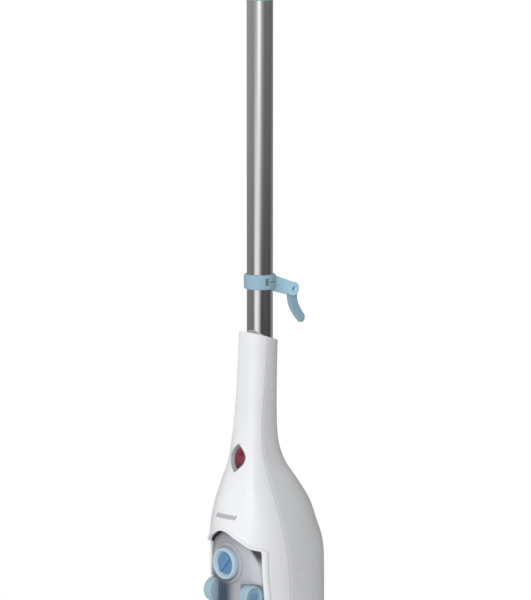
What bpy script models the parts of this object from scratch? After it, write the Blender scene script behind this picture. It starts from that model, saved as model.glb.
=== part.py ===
"""Upright steam mop, modelled as separate named pieces.

Frame: metres, +Z up, front of the mop towards -Y, origin on the floor under the middle of the head.
"""
import bpy
import bmesh
from math import asin, cos, pi, radians, sin
from mathutils import Matrix, Vector

MM = 0.001
GAP = 0.3 * MM                 # clearance between pieces that touch
RUN = 0.15 * MM                # radial running clearance of pins

# mop head
HEAD_WIDTH = 300 * MM
HEAD_DEPTH = 178 * MM
HEAD_POWER = 3.4               # roundness of the head's outline
PAD_TOP = 10.0 * MM
STRIP_TOP = 11.5 * MM
SOLE_TOP = 17.0 * MM
COVER_EDGE = 25.0 * MM
COVER_CROWN = 40.0 * MM
WELL_DECK = 29.0 * MM          # floor of the well that the neck lies in
WELL_HALF = 25 * MM
WELL_FRONT = -24 * MM

# universal joint of the neck
PITCH_Z = 46 * MM
ROLL_Z = 74 * MM
BARREL_R = 8 * MM
PIN_R = 4 * MM
SOCKET_BASE = 86 * MM
SOCKET_TOP = 133 * MM
SOCKET_R = 18.5 * MM
SPIGOT_R = 14 * MM
BUTTON_Z = 113 * MM

# body: (z, half width, front depth, rear depth, seam offset) of the skin, in mm
BODY_LEVELS = (
    (135, 24.0, 26.8, 27.4, -1.0),
    (160, 29.7, 33.7, 37.1, -0.5),
    (190, 37.0, 41.5, 51.9, 0.0),
    (220, 41.6, 46.5, 61.1, 0.6),
    (255, 43.4, 49.0, 65.5, 0.6),
    (300, 43.2, 49.8, 66.6, -0.2),
    (330, 41.8, 50.3, 65.8, -2.6),
    (352, 39.4, 48.7, 58.2, -6.2),
    (372, 35.0, 44.9, 50.9, -9.2),
    (391, 28.6, 39.4, 38.7, -10.8),
    (411, 22.0, 31.3, 24.2, -12.2),
    (430, 18.6, 27.4, 17.0, -12.8),
    (455, 16.8, 24.8, 15.2, -11.5),
    (490, 16.4, 22.9, 15.0, -7.6),
    (531, 16.6, 21.2, 15.2, -3.5),
)
FRONT_POWER = 2.25             # roundness of the section in front of the seam
REAR_POWER = 2.8
WALL = 2.0 * MM
RIM_SLOPE = 0.45               # the collar's rim is higher at the front
RIM_FADE = 470 * MM            # height where the lean of the rim begins
COLLAR_Z = 518 * MM            # above this the shells close in round the pole

FRONT_RINGS = (135, 160, 185, 215, 255, 300, 330, 352, 372, 390, 406, 425, 450, 490, 514, 519, 525, 531)
REAR_RINGS = (135, 160, 185, 215, 255, 300, 330, 352, 372, 388, 402, 418, 440, 490, 514, 519, 525, 531)
SEAM_GAP = 0.15 * MM           # each shell stops this short of the seam

# water tank and its window, outlines as (height, half width) or (half width, height) in mm
ARCH = ((-7, 348.9), (0, 350.0), (7, 348.9), (12.5, 346.0), (20.5, 341.4), (27.5, 336.0),
        (31.5, 334.1), (33.6, 333.4))
WINDOW_SIDES = ((333.0, 34.8), (331.4, 35.5), (328, 35.8), (307, 36.4), (285, 37.3), (255, 37.4),
                (230, 35.8), (218, 33.6), (209, 29.5), (205, 21.0))
# the tank's outline is (half width, height); its own skin is (height, half width, front depth)
TANK_HALF = ((0, 344.5), (9, 343.2), (17, 339.8), (25, 334.8), (30.2, 328.6), (33.4, 320.6), (35.0, 311),
             (36.6, 285), (36.4, 251), (32.8, 219), (28.3, 209.5), (20, 206.5))
TANK_LEVELS = ((190, 37.0, 35.0), (220, 42.5, 38.6), (255, 44.1, 40.6), (300, 44.1, 40.8),
               (330, 43.5, 40.6), (352, 42.0, 39.9))
TANK_SEAM = -6 * MM
TANK_POWER = 2.5
TANK_WALL = 1.8 * MM
LIP_WIDTH = 2.8 * MM           # raised lip round the window
LIP_RISE = 1.6 * MM
TANK_BACK = -8 * MM
CAP_Z = 318 * MM
CAP_R = 15.5 * MM
BOSS_R = 20 * MM
MOUTH_R = 10.5 * MM
PAD_X = 30.5 * MM              # outer face of a finger pad
PAD_Y = -34.5 * MM
PAD_Z = 287.5 * MM
PAD_R = 12.0 * MM
VALVE_Z = 224 * MM

# lamp
LAMP_Z = 418 * MM
LAMP_WIDTH = 20.4 * MM
LAMP_HEIGHT = 27 * MM
LAMP_DEPTH = 3.4 * MM

# pole and its hooks
POLE_R = 12.5 * MM
POLE_WALL = 1.2 * MM
POLE_BASE = 456 * MM
POLE_TOP = 940 * MM
HOOK_RING_R = 15.2 * MM
HOOK_Z = 585 * MM
HOOK_PIVOT_Y = 41 * MM
HOOK_PIVOT_Z = 574 * MM
UPPER_HOOK_Z = 858 * MM

# handle: (z, half width, front depth, rear depth, spine offset) of the skin, in mm
HANDLE_LEVELS = (
    (905, 17.0, 17.0, 17.0, 0.0),
    (930, 18.2, 18.6, 18.2, 0.3),
    (960, 16.8, 18.4, 16.8, 1.5),
    (1000, 16.0, 18.6, 16.4, 4.5),
    (1040, 16.2, 18.0, 17.0, 8.5),
    (1090, 16.4, 18.2, 17.4, 14.5),
    (1140, 16.0, 18.4, 17.0, 21.5),
    (1168, 15.6, 17.6, 16.6, 26.0),
)
HANDLE_POWER = 2.2
TRIGGER_PIVOT = Vector((0, -3 * MM, 1030 * MM))
ROD_R = 2.5 * MM
ROD_FLANGE = 966 * MM
ROD_TOP = 1025 * MM

GLAND_Z = 196 * MM
THIN_CASINGS = ("front_shell", "rear_shell")    # the exact solver loses their thin walls
SCREW_SITES = ((8.5 * MM, 386 * MM), (22 * MM, 176 * MM))

WHITE = ("white_plastic", (0.86, 0.87, 0.88), 0.28, 0.0)
BLUE = ("blue_plastic", (0.22, 0.47, 0.62), 0.38, 0.0)
GREY = ("grey_plastic", (0.34, 0.36, 0.39), 0.45, 0.0)
BLACK = ("black_plastic", (0.03, 0.03, 0.035), 0.5, 0.0)
SMOKED = ("smoked_plastic", (0.30, 0.31, 0.34), 0.15, 0.0)
RED = ("lamp_red", (0.30, 0.02, 0.04), 0.12, 0.0)
ALUMINIUM = ("aluminium", (0.60, 0.61, 0.62), 0.28, 1.0)
STEEL = ("steel", (0.62, 0.62, 0.60), 0.3, 1.0)
BRASS = ("brass", (0.70, 0.52, 0.24), 0.3, 1.0)
RUBBER = ("rubber", (0.10, 0.11, 0.12), 0.8, 0.0)
BOARD = ("circuit_board", (0.05, 0.22, 0.10), 0.5, 0.0)
FIBRE = ("microfibre", (0.78, 0.84, 0.88), 0.95, 0.0)


# ---------------------------------------------------------------- helpers

def clear_scene():
    for obj in list(bpy.data.objects):
        bpy.data.objects.remove(obj)


def material(spec, name):
    """A Principled material of its own for one piece."""
    label, colour, roughness, metallic = spec
    mat = bpy.data.materials.new(name + "_" + label)
    mat.use_nodes = True
    shader = mat.node_tree.nodes["Principled BSDF"]
    shader.inputs["Base Color"].default_value = (*colour, 1.0)
    shader.inputs["Roughness"].default_value = roughness
    shader.inputs["Metallic"].default_value = metallic
    return mat


def piece(name, bm, spec=None, origin=(0, 0, 0), smooth=35):
    """Turn a bmesh in world coordinates into an object whose origin sits at `origin`."""
    bmesh.ops.recalc_face_normals(bm, faces=bm.faces)
    bmesh.ops.translate(bm, verts=bm.verts, vec=-Vector(origin))
    mesh = bpy.data.meshes.new(name)
    bm.to_mesh(mesh)
    bm.free()
    obj = bpy.data.objects.new(name, mesh)
    obj.location = origin
    bpy.context.collection.objects.link(obj)
    mesh.shade_smooth()
    mesh.set_sharp_from_angle(angle=radians(smooth))
    if spec:
        mesh.materials.append(material(spec, name))
    return obj


def helper(name, bm, origin=(0, 0, 0)):
    """A cutter or a joined-on solid: never a piece of its own."""
    obj = piece(name, bm, origin=origin)
    obj.hide_render = True
    obj.display_type = "WIRE"
    return obj


def boolean(obj, other, operation):
    mod = obj.modifiers.new(operation.lower() + "_" + other.name, "BOOLEAN")
    mod.object = other
    mod.operation = operation
    mod.solver = "MANIFOLD" if obj.name in THIN_CASINGS else "EXACT"


def cut(obj, bm):
    boolean(obj, helper(obj.name + "_cutter", bm), "DIFFERENCE")


def join(obj, bm):
    boolean(obj, helper(obj.name + "_joined", bm), "UNION")


def loft(rings, wrap=False):
    """Skin closed rings in order; the ends are capped, or joined to each other with `wrap`."""
    bm = bmesh.new()
    rows = [[bm.verts.new(point) for point in ring] for ring in rings]
    count = len(rows[0])
    pairs = list(zip(rows, rows[1:]))
    if wrap:
        pairs.append((rows[-1], rows[0]))
    for low, high in pairs:
        for i in range(count):
            j = (i + 1) % count
            bm.faces.new((low[i], low[j], high[j], high[i]))
    if not wrap:
        bm.faces.new(rows[0])
        bm.faces.new(rows[-1])
    return bm


def turned(profile, axis="Z", at=(0, 0, 0), sides=20):
    """Solid of revolution of (radius, height) points; a ring when the profile closes off the axis."""
    turn = {"Z": Matrix(), "X": Matrix.Rotation(pi / 2, 4, "Y"), "Y": Matrix.Rotation(-pi / 2, 4, "X")}
    place = Matrix.Translation(at) @ turn[axis]
    rings = []
    for radius, height in profile:
        angles = [2 * pi * (i + 0.5) / sides for i in range(sides)]
        rings.append([place @ Vector((radius * cos(a), radius * sin(a), height)) for a in angles])
    return rings


def rod(radius, start, end, axis="Z", at=(0, 0, 0), sides=20):
    return loft(turned(((radius, start), (radius, end)), axis, at, sides))


def tube(outer, inner, start, end, axis="Z", at=(0, 0, 0), sides=20):
    profile = ((outer, start), (outer, end), (inner, end), (inner, start))
    return loft(turned(profile, axis, at, sides), wrap=True)


def box(low, high):
    rings = []
    for z in (low[2], high[2]):
        rings.append([Vector((x, y, z)) for x, y in
                      ((low[0], low[1]), (high[0], low[1]), (high[0], high[1]), (low[0], high[1]))])
    return loft(rings)


def prism(outline, start, end, axis):
    """Extrude a closed outline: (x, z) points along Y, or (y, z) points along X."""
    if axis == "Y":
        return loft([[Vector((u, d, v)) for u, v in outline] for d in (start, end)])
    return loft([[Vector((d, u, v)) for u, v in outline] for d in (start, end)])


def mix(points, at):
    """Smooth value at `at` through rows of (key, values...): Catmull-Rom between the rows."""
    last = len(points) - 2
    k = max(0, min(last, sum(1 for row in points[1:-1] if row[0] <= at)))
    before, low = points[max(0, k - 1)], points[k]
    high, after = points[k + 1], points[min(len(points) - 1, k + 2)]
    span = high[0] - low[0]
    t = (at - low[0]) / span
    values = []
    for i in range(1, len(low)):
        slope_low = (high[i] - before[i]) / (high[0] - before[0]) * span
        slope_high = (after[i] - low[i]) / (after[0] - low[0]) * span
        values.append((2 * t**3 - 3 * t**2 + 1) * low[i] + (t**3 - 2 * t**2 + t) * slope_low
                      + (3 * t**2 - 2 * t**3) * high[i] + (t**3 - t**2) * slope_high)
    return values


def signed_power(value, power):
    return abs(value) ** power * (1 if value >= 0 else -1)


def rim_slope(z):
    """How much the collar's rim leans, growing from RIM_FADE up to the top."""
    return RIM_SLOPE * max(0.0, (z - RIM_FADE) / (BODY_LEVELS[-1][0] * MM - RIM_FADE)) ** 2


def body_point(z, angle, inset=0.0):
    """Point of the body's skin; angle 0 is +X, 90 degrees is the rear, 270 the front."""
    half, front, rear, seam = [v * MM for v in mix(BODY_LEVELS, z / MM)]
    depth, power = (rear - seam, REAR_POWER) if sin(angle) >= 0 else (front + seam, FRONT_POWER)
    x = (half - inset) * signed_power(cos(angle), 2 / power)
    y = seam + (depth - inset) * signed_power(sin(angle), 2 / power)
    return Vector((x, y, z - rim_slope(z) * y))


def casing_inner(z, angle):
    """Inside of the shells' wall: WALL inside the skin, but close round the pole in the collar."""
    if z < COLLAR_Z:
        return body_point(z, angle, WALL)
    radius = POLE_R + GAP
    seam = mix(BODY_LEVELS, z / MM)[3] * MM
    start = asin(seam / radius)
    side = angle / pi if angle <= pi else angle / pi - 1
    turn = start + (pi - 2 * start) * side if angle <= pi else pi - start + (pi + 2 * start) * side
    x, y = radius * cos(turn), radius * sin(turn)
    return Vector((x, y, z - rim_slope(z) * y))


def skin_y(x, z, side, inset):
    """Depth of the body's skin at (x, z), on the front (-1) or the rear (+1)."""
    half, front, rear, seam = [v * MM for v in mix(BODY_LEVELS, z / MM)]
    depth, power = (rear - seam, REAR_POWER) if side > 0 else (front + seam, FRONT_POWER)
    return seam + side * (depth - inset) * (1 - (abs(x) / (half - inset)) ** power) ** (1 / power)


def front_point(x, z, lift):
    """Point above the front skin at (x, z), `lift` out along the section's normal."""
    step = 0.2 * MM
    slope = (skin_y(x + step, z, -1, 0) - skin_y(x - step, z, -1, 0)) / (2 * step)
    return Vector((x, skin_y(x, z, -1, 0), z)) + Vector((slope, -1, 0)).normalized() * lift


def handle_point(z, angle, inset=0.0):
    half, front, rear, spine = [v * MM for v in mix(HANDLE_LEVELS, z / MM)]
    depth = rear if sin(angle) >= 0 else front
    x = (half - inset) * signed_power(cos(angle), 2 / HANDLE_POWER)
    y = spine + (depth - inset) * signed_power(sin(angle), 2 / HANDLE_POWER)
    return Vector((x, y, z))


def handle_inner(z, angle):
    return handle_point(z, angle, WALL)


def half_shell(outside, inside, levels, start, end, steps, seam_gap):
    """Wall of one half of a lofted casing, between two angles of its section."""
    rings = []
    side = 1 if end <= pi else -1
    shift = Vector((0, side * seam_gap, 0))
    for z in levels:
        angles = [start + (end - start) * i / steps for i in range(steps + 1)]
        outer = [outside(z, a) + shift for a in angles]
        inner = [inside(z, a) + shift for a in reversed(angles)]
        rings.append(outer + inner)
    return loft(rings)


def spread(low, high, count):
    return [low + (high - low) * i / (count - 1) for i in range(count)]


# ---------------------------------------------------------------- mop head

def head_outline(inset, z, count=40):
    """Rounded outline of the head, narrower towards the back."""
    ring = []
    for i in range(count):
        angle = 2 * pi * i / count
        x = (HEAD_WIDTH / 2 - inset) * signed_power(cos(angle), 2 / HEAD_POWER)
        y = (HEAD_DEPTH / 2 - inset) * signed_power(sin(angle), 2 / HEAD_POWER)
        taper = 1 - 0.16 * (y / HEAD_DEPTH + 0.5) ** 1.5
        ring.append(Vector((x * taper, y, z)))
    return ring


def cover_height(x, y, inset):
    """Height of the cover's skin: a low crown that falls to the edge."""
    u = min(1.0, (abs(x) / (HEAD_WIDTH / 2)) ** 2.2)
    v = min(1.0, (abs(y) / (HEAD_DEPTH / 2)) ** 2.2)
    return COVER_EDGE + (COVER_CROWN - COVER_EDGE) * (1 - u) * (1 - v) - inset


def pad():
    rings = [head_outline(inset * MM, z * MM) for inset, z in ((4, 0), (0.5, 3), (0.5, 7), (3, 10))]
    piece("microfibre_pad", loft(rings), FIBRE)


def grip_strips():
    for side, label in ((-1, "left"), (1, "right")):
        centre = side * 78 * MM
        low = (centre - 38 * MM, -45 * MM, PAD_TOP + GAP)
        high = (centre + 38 * MM, -20 * MM, STRIP_TOP)
        piece("hook_and_loop_strip_" + label, box(low, high), GREY)


def sole_plate():
    rings = [head_outline(inset * MM, z) for inset, z in ((5, STRIP_TOP + GAP), (4, SOLE_TOP - GAP))]
    obj = piece("sole_plate", loft(rings), GREY)
    holes = loft_many([tube_rings(2.5 * MM, 0, 40 * MM, (x * MM, y * MM, 0))
                       for x in (-30, 0, 30) for y in (-58, 12)])
    cut(obj, holes)


def tube_rings(radius, start, end, at, sides=10):
    return turned(((radius, start), (radius, end)), "Z", at, sides)


def loft_many(parts):
    """Several separate closed solids in one mesh, for a cutter."""
    whole = bmesh.new()
    for rings in parts:
        bm = loft(rings)
        bmesh.ops.recalc_face_normals(bm, faces=bm.faces)
        mesh = bpy.data.meshes.new("part")
        bm.to_mesh(mesh)
        bm.free()
        whole.from_mesh(mesh)
        bpy.data.meshes.remove(mesh)
    return whole


def head_cover():
    """Domed cover, hollow underneath, with a well at the neck."""
    steps = (0, 3, 14, 34, 58, 82)
    outer = [[Vector((p.x, p.y, cover_height(p.x, p.y, 0))) for p in head_outline(s * MM, 0)]
             for s in steps]
    wall = 2.4 * MM
    inner = [[Vector((p.x, p.y, cover_height(p.x, p.y, wall))) for p in head_outline(s * MM + wall, 0)]
             for s in steps]
    rim_outer = head_outline(0, SOLE_TOP + GAP)
    rim_inner = head_outline(wall, SOLE_TOP + GAP)
    bm = loft([inner[-1]] + inner[::-1][1:] + [rim_inner, rim_outer] + outer)
    obj = piece("head_cover", bm, WHITE)
    well = box((-WELL_HALF, WELL_FRONT, WELL_DECK), (WELL_HALF, 100 * MM, 60 * MM))
    under = WELL_DECK - wall
    block = [(WELL_FRONT - wall, under), (76 * MM, under), (76 * MM, under + 2 * MM), (60 * MM, 32.5 * MM),
             (45 * MM, 35.5 * MM), (20 * MM, 38.2 * MM), (WELL_FRONT - wall, 38.2 * MM)]
    join(obj, prism(block, -WELL_HALF - wall, WELL_HALF + wall, "X"))
    cut(obj, well)


def bumper():
    """Soft band round the sole plate's edge."""
    low, high = SOLE_TOP - 3.5 * MM, SOLE_TOP - 0.4 * MM
    rings = [head_outline(3.6 * MM, low), head_outline(0.6 * MM, low),
             head_outline(0.0 * MM, (low + high) / 2), head_outline(0.6 * MM, high),
             head_outline(3.6 * MM, high)]
    piece("edge_bumper", loft(rings, wrap=True), BLUE)


def steam_manifold():
    """Flat duct inside the head that feeds the steam holes."""
    duct = box((-40 * MM, -66 * MM, SOLE_TOP + GAP), (40 * MM, 20 * MM, 23 * MM))
    obj = piece("steam_manifold", duct, BLACK)
    cut(obj, box((-37 * MM, -63 * MM, 10 * MM), (37 * MM, 17 * MM, 20.5 * MM)))


def pivot_bracket():
    """Two lugs on the well's floor that carry the pitch pin."""
    base = WELL_DECK + GAP
    obj = piece("pivot_bracket", box((-22 * MM, -14 * MM, base), (22 * MM, 14 * MM, base + 3 * MM)), GREY)
    for side in (-1, 1):
        ends = sorted((side * 15 * MM, side * 21 * MM))
        join(obj, rod(9 * MM, ends[0], ends[1], "X", (0, 0, PITCH_Z)))
        join(obj, box((ends[0], -9 * MM, base + 1 * MM), (ends[1], 9 * MM, PITCH_Z)))
    cut(obj, rod(PIN_R + RUN, -40 * MM, 40 * MM, "X", (0, 0, PITCH_Z)))


def pitch_pin():
    profile = ((0.6 * PIN_R, -22 * MM), (PIN_R, -21 * MM), (PIN_R, 21 * MM), (0.6 * PIN_R, 22 * MM))
    piece("pitch_pin", loft(turned(profile, "X", (0, 0, PITCH_Z))), STEEL, (0, 0, PITCH_Z))


# ---------------------------------------------------------------- neck

def swivel_yoke():
    """Cross-piece of the universal joint: a barrel along X below, one along Y above."""
    obj = piece("swivel_yoke", rod(BARREL_R, -14.4 * MM, 14.4 * MM, "X", (0, 0, PITCH_Z)), WHITE)
    join(obj, box((-7 * MM, -7 * MM, PITCH_Z), (7 * MM, 7 * MM, ROLL_Z)))
    join(obj, rod(BARREL_R, -7.5 * MM, 7.5 * MM, "Y", (0, 0, ROLL_Z)))
    cut(obj, rod(PIN_R + RUN, -40 * MM, 40 * MM, "X", (0, 0, PITCH_Z)))
    cut(obj, rod(PIN_R + RUN, -40 * MM, 40 * MM, "Y", (0, 0, ROLL_Z)))


def roll_pin():
    profile = ((0.6 * PIN_R, -14 * MM), (PIN_R, -13 * MM), (PIN_R, 13 * MM), (0.6 * PIN_R, 14 * MM))
    piece("roll_pin", loft(turned(profile, "Y", (0, 0, ROLL_Z))), STEEL, (0, 0, ROLL_Z))


def neck_socket():
    """Cup that takes the body's spigot, on two lugs round the roll pin."""
    inner = SPIGOT_R + GAP
    profile = ((12 * MM, SOCKET_BASE), (SOCKET_R, SOCKET_BASE + 4 * MM), (SOCKET_R, SOCKET_TOP - 3 * MM),
               (SOCKET_R + 1.5 * MM, SOCKET_TOP), (inner, SOCKET_TOP), (inner, SOCKET_BASE + 8 * MM),
               (5 * MM, SOCKET_BASE + 8 * MM), (5 * MM, SOCKET_BASE))
    obj = piece("neck_socket", loft(turned(profile), wrap=True), WHITE, (0, 0, ROLL_Z))
    for side in (-1, 1):
        ends = sorted((side * 8 * MM, side * 13 * MM))
        join(obj, rod(9 * MM, ends[0], ends[1], "Y", (0, 0, ROLL_Z)))
        join(obj, box((-9 * MM, ends[0], ROLL_Z), (9 * MM, ends[1], SOCKET_BASE + 5 * MM)))
    cut(obj, rod(PIN_R + RUN, -40 * MM, 40 * MM, "Y", (0, 0, ROLL_Z)))
    cut(obj, rod(6 * MM, -40 * MM, -10 * MM, "Y", (0, 0, BUTTON_Z)))


def neck_button():
    """Push button that frees the body from the neck."""
    profile = ((5.6 * MM, -16.9 * MM), (5.6 * MM, -21.5 * MM), (4.4 * MM, -22.6 * MM))
    piece("neck_button", loft(turned(profile, "Y", (0, 0, BUTTON_Z))), BLUE, (0, 0, BUTTON_Z))


# ---------------------------------------------------------------- body

def spigot():
    """Plug under the body, hollow for the steam pipe, with a flange inside the shells."""
    profile = ((SPIGOT_R, 97 * MM), (SPIGOT_R, 139 * MM), (19.5 * MM, 139 * MM), (19.5 * MM, 144 * MM),
               (9 * MM, 144 * MM), (9 * MM, 97 * MM))
    piece("spigot", loft(turned(profile), wrap=True), GREY)


def steam_pipe():
    piece("steam_pipe", tube(4 * MM, 2.6 * MM, 98 * MM, 150 * MM, sides=16), BRASS)


def boiler():
    profile = ((12 * MM, 150.5 * MM), (15 * MM, 154 * MM), (15 * MM, 178 * MM), (16.2 * MM, 178 * MM),
               (16.2 * MM, 182 * MM), (15 * MM, 182 * MM), (15 * MM, 204 * MM), (9 * MM, 208 * MM))
    piece("boiler", loft(turned(profile, at=(0, 14.4 * MM, 0))), ALUMINIUM)


def pump():
    obj = piece("pump", box((-16 * MM, 10 * MM, 222 * MM), (16 * MM, 42 * MM, 262 * MM)), BLACK)
    join(obj, rod(9 * MM, 260 * MM, 274 * MM, "Z", (0, 26 * MM, 0)))


def pump_pipe():
    """Pipe from the pump down to the boiler."""
    rings = []
    for i in range(6):
        t = i / 5
        centre = Vector((0, (26 - 12 * t) * MM, (221.5 - 13 * t) * MM))
        rings.append([centre + Vector((3 * MM * cos(a), 3 * MM * sin(a), 0))
                      for a in [2 * pi * k / 10 for k in range(10)]])
    piece("pump_pipe", loft(rings), RUBBER)


def control_board():
    piece("control_board", box((-28 * MM, 6 * MM, 290 * MM), (28 * MM, 8 * MM, 345 * MM)), BOARD)


def microswitch():
    piece("microswitch", box((-8 * MM, -4 * MM, 438 * MM), (8 * MM, 4 * MM, 452 * MM)), BLACK)


def window_outline(offset):
    """Outline of the window: tapering sides under a soft ogee arch."""
    steps = (0, 3.5, 7, 10, 13, 16.5, 20.5, 24.5, 28, 31, 33.6)
    half = [(x * MM, mix(ARCH, x)[0] * MM + offset) for x in steps]
    half += [(x * MM + offset, z * MM) for z, x in WINDOW_SIDES[:-2]]
    half += [(x * MM + offset / 2, z * MM - offset) for z, x in WINDOW_SIDES[-2:]]
    return mirrored(half)


def mirrored(half):
    return half + [(-x, z) for x, z in reversed(half) if x > 0.01 * MM]


def tank_outline():
    """The tank's own outline: a plain arch with round shoulders, lower than the window's."""
    return mirrored([(x * MM, z * MM) for x, z in TANK_HALF])


def window_lip():
    """Raised lip that follows the window's edge on the front skin."""
    section = ((-0.6 * MM, -1 * MM), (-0.6 * MM, LIP_RISE * 0.7), (LIP_WIDTH * 0.4, LIP_RISE),
               (LIP_WIDTH * 0.8, LIP_RISE * 0.7), (LIP_WIDTH, -1 * MM))
    return loft([[front_point(x, z, lift) for x, z in window_outline(offset)]
                 for offset, lift in section], wrap=True)


def boss(x, z, radius, start, side):
    """Screw boss along Y from `start` to the inside of the skin, whose shape its end follows."""
    circle = [(x + radius * cos(a), z + radius * sin(a)) for a in [2 * pi * i / 12 for i in range(12)]]
    return loft([[Vector((u, start, v)) for u, v in circle],
                 [Vector((u, skin_y(u, v, side, WALL / 2), v)) for u, v in circle]])


def front_shell():
    levels = [z * MM for z in FRONT_RINGS]
    obj = piece("front_shell",
                half_shell(body_point, casing_inner, levels, pi, 2 * pi, 14, SEAM_GAP), WHITE)
    for x, z in SCREW_SITES:
        for side in (-1, 1):
            join(obj, boss(side * x, z, 4 * MM, 2 * MM, -1))
            cut(obj, rod(1.8 * MM, -24 * MM, 20 * MM, "Y", (side * x, 0, z), 12))
    join(obj, window_lip())
    cut(obj, prism(window_outline(0), -60 * MM, -21 * MM, "Y"))
    cut(obj, prism(lamp_outline(1.0), -60 * MM, -16 * MM, "Y"))


def rear_shell():
    levels = [z * MM for z in REAR_RINGS]
    obj = piece("rear_shell", half_shell(body_point, casing_inner, levels, 0, pi, 14, SEAM_GAP), WHITE)
    for x, z in SCREW_SITES:
        for side in (-1, 1):
            at = (side * x, 0, z)
            join(obj, boss(side * x, z, 5 * MM, 2.5 * MM, 1))
            cut(obj, rod(3.6 * MM, 12 * MM, 90 * MM, "Y", at, 12))
            cut(obj, rod(1.8 * MM, -10 * MM, 20 * MM, "Y", at, 12))
    cut(obj, rod(6.3 * MM, 40 * MM, 90 * MM, "Y", (0, 0, GLAND_Z)))


def shell_screws():
    number = 0
    for x, z in SCREW_SITES:
        for side in (-1, 1):
            number += 1
            profile = ((1.2 * MM, -14 * MM), (1.5 * MM, -12 * MM), (1.5 * MM, 12.3 * MM),
                       (3.2 * MM, 12.3 * MM), (3.2 * MM, 14.2 * MM), (2.2 * MM, 15 * MM))
            piece(f"body_screw_{number}", loft(turned(profile, "Y", (side * x, 0, z), 12)), STEEL)


def lamp_outline(scale):
    """Leaf shape, pointed above and below."""
    half_height, half_width = LAMP_HEIGHT / 2 * scale, LAMP_WIDTH / 2 * scale
    angles = [pi * i / 8 for i in range(9)]
    return mirrored([(half_width * sin(a) ** 2, LAMP_Z + half_height * cos(a)) for a in angles])


def lamp_layer(low, high):
    """Slice of the front between two depths below the skin, wide enough for the lamp."""
    levels = [z * MM for z in (398, 404, 408, 412, 416, 420, 424, 430, 436)]
    return half_shell(lambda z, a: body_point(z, a, low), lambda z, a: body_point(z, a, high), levels,
                      1.1 * pi, 1.9 * pi, 14, 0)


def lamp():
    """Red lens, sunk a little in a grey frame that is set into the front shell."""
    frame = piece("lamp_bezel", lamp_layer(0, LAMP_DEPTH), GREY)
    boolean(frame, helper("bezel_limit", prism(lamp_outline(0.965), -60 * MM, -10 * MM, "Y")), "INTERSECT")
    boolean(frame, helper("bezel_hole", prism(lamp_outline(0.80), -60 * MM, -10 * MM, "Y")), "DIFFERENCE")
    lens = piece("lamp_lens", lamp_layer(LAMP_DEPTH - WALL, LAMP_DEPTH), RED)
    boolean(lens, helper("lens_limit", prism(lamp_outline(0.77), -60 * MM, -10 * MM, "Y")), "INTERSECT")


def tank_bay():
    """Liner behind the tank, with the port that the tank's valve plugs into."""
    obj = piece("tank_bay", prism(window_outline(2.0 * MM), -15 * MM, -3 * MM, "Y"), BLACK)
    cut(obj, prism(window_outline(0.6 * MM), -30 * MM, -5 * MM, "Y"))
    cut(obj, rod(6.5 * MM, -20 * MM, 10 * MM, "Y", (0, 0, VALVE_Z)))


def cord_gland():
    """Bush that the power cord enters by, low on the body's back."""
    profile = ((6 * MM, 47 * MM), (6 * MM, 60 * MM), (5.2 * MM, 61 * MM), (3.8 * MM, 61 * MM),
               (3.8 * MM, 44 * MM), (8.5 * MM, 44 * MM), (8.5 * MM, 47 * MM))
    piece("cord_gland", loft(turned(profile, "Y", (0, 0, GLAND_Z)), wrap=True), GREY)


# ---------------------------------------------------------------- water tank

def tank_solid(inset):
    """Solid inside the tank's own skin, which lies a little behind the shells'."""
    rings = []
    for z in spread(190 * MM, 352 * MM, 10):
        half, front = [v * MM - inset for v in mix(TANK_LEVELS, z / MM)]
        arc = [Vector((half * signed_power(cos(a), 2 / TANK_POWER),
                       TANK_SEAM + (front + TANK_SEAM) * signed_power(sin(a), 2 / TANK_POWER), z))
               for a in [pi + pi * i / 20 for i in range(21)]]
        rings.append(arc + [Vector((half, 0, z)), Vector((-half, 0, z))])
    return loft(rings)


def water_tank():
    """Hollow tank, shaped by the window and the body's skin, with a boss for the filler mouth."""
    obj = piece("water_tank", prism(tank_outline(), -60 * MM, TANK_BACK, "Y"), SMOKED)
    boolean(obj, helper("tank_front", tank_solid(0)), "INTERSECT")
    mouth = (0, 0, CAP_Z)
    join(obj, rod(BOSS_R, -43.5 * MM, -30 * MM, "Y", mouth, 32))
    for side in (-1, 1):
        ends = sorted((side * 15.5 * MM, side * 60 * MM))
        cut(obj, rod(PAD_R + 1.0 * MM, ends[0], ends[1], "X", (0, PAD_Y, PAD_Z), 32))
    cavity = [(x * 0.93, 277 * MM + (z - 277 * MM) * 0.965) for x, z in tank_outline()]
    hollow = helper("tank_cavity", prism(cavity, -60 * MM, TANK_BACK - TANK_WALL, "Y"))
    boolean(hollow, helper("cavity_front", tank_solid(TANK_WALL)), "INTERSECT")
    for side in (-1, 1):
        ends = sorted((side * 13.7 * MM, side * 60 * MM))
        cut(hollow, rod(PAD_R + 2.8 * MM, ends[0], ends[1], "X", (0, PAD_Y, PAD_Z), 32))
    boolean(obj, hollow, "DIFFERENCE")
    cut(obj, rod(MOUTH_R, -60 * MM, -30 * MM, "Y", mouth))
    cut(obj, rod(CAP_R + 0.6 * MM, -60 * MM, -41.6 * MM, "Y", mouth))
    cut(obj, rod(4.4 * MM, -20 * MM, 0, "Y", (0, 0, VALVE_Z), 16))


def tank_valve():
    """Spring valve at the back of the tank, plugged into the bay's port."""
    profile = ((4.1 * MM, -9.6 * MM), (4.1 * MM, -7.7 * MM), (6 * MM, -7.7 * MM), (6 * MM, 0),
               (5 * MM, 2 * MM))
    piece("tank_valve", loft(turned(profile, "Y", (0, 0, VALVE_Z), 20)), BLUE)


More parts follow.
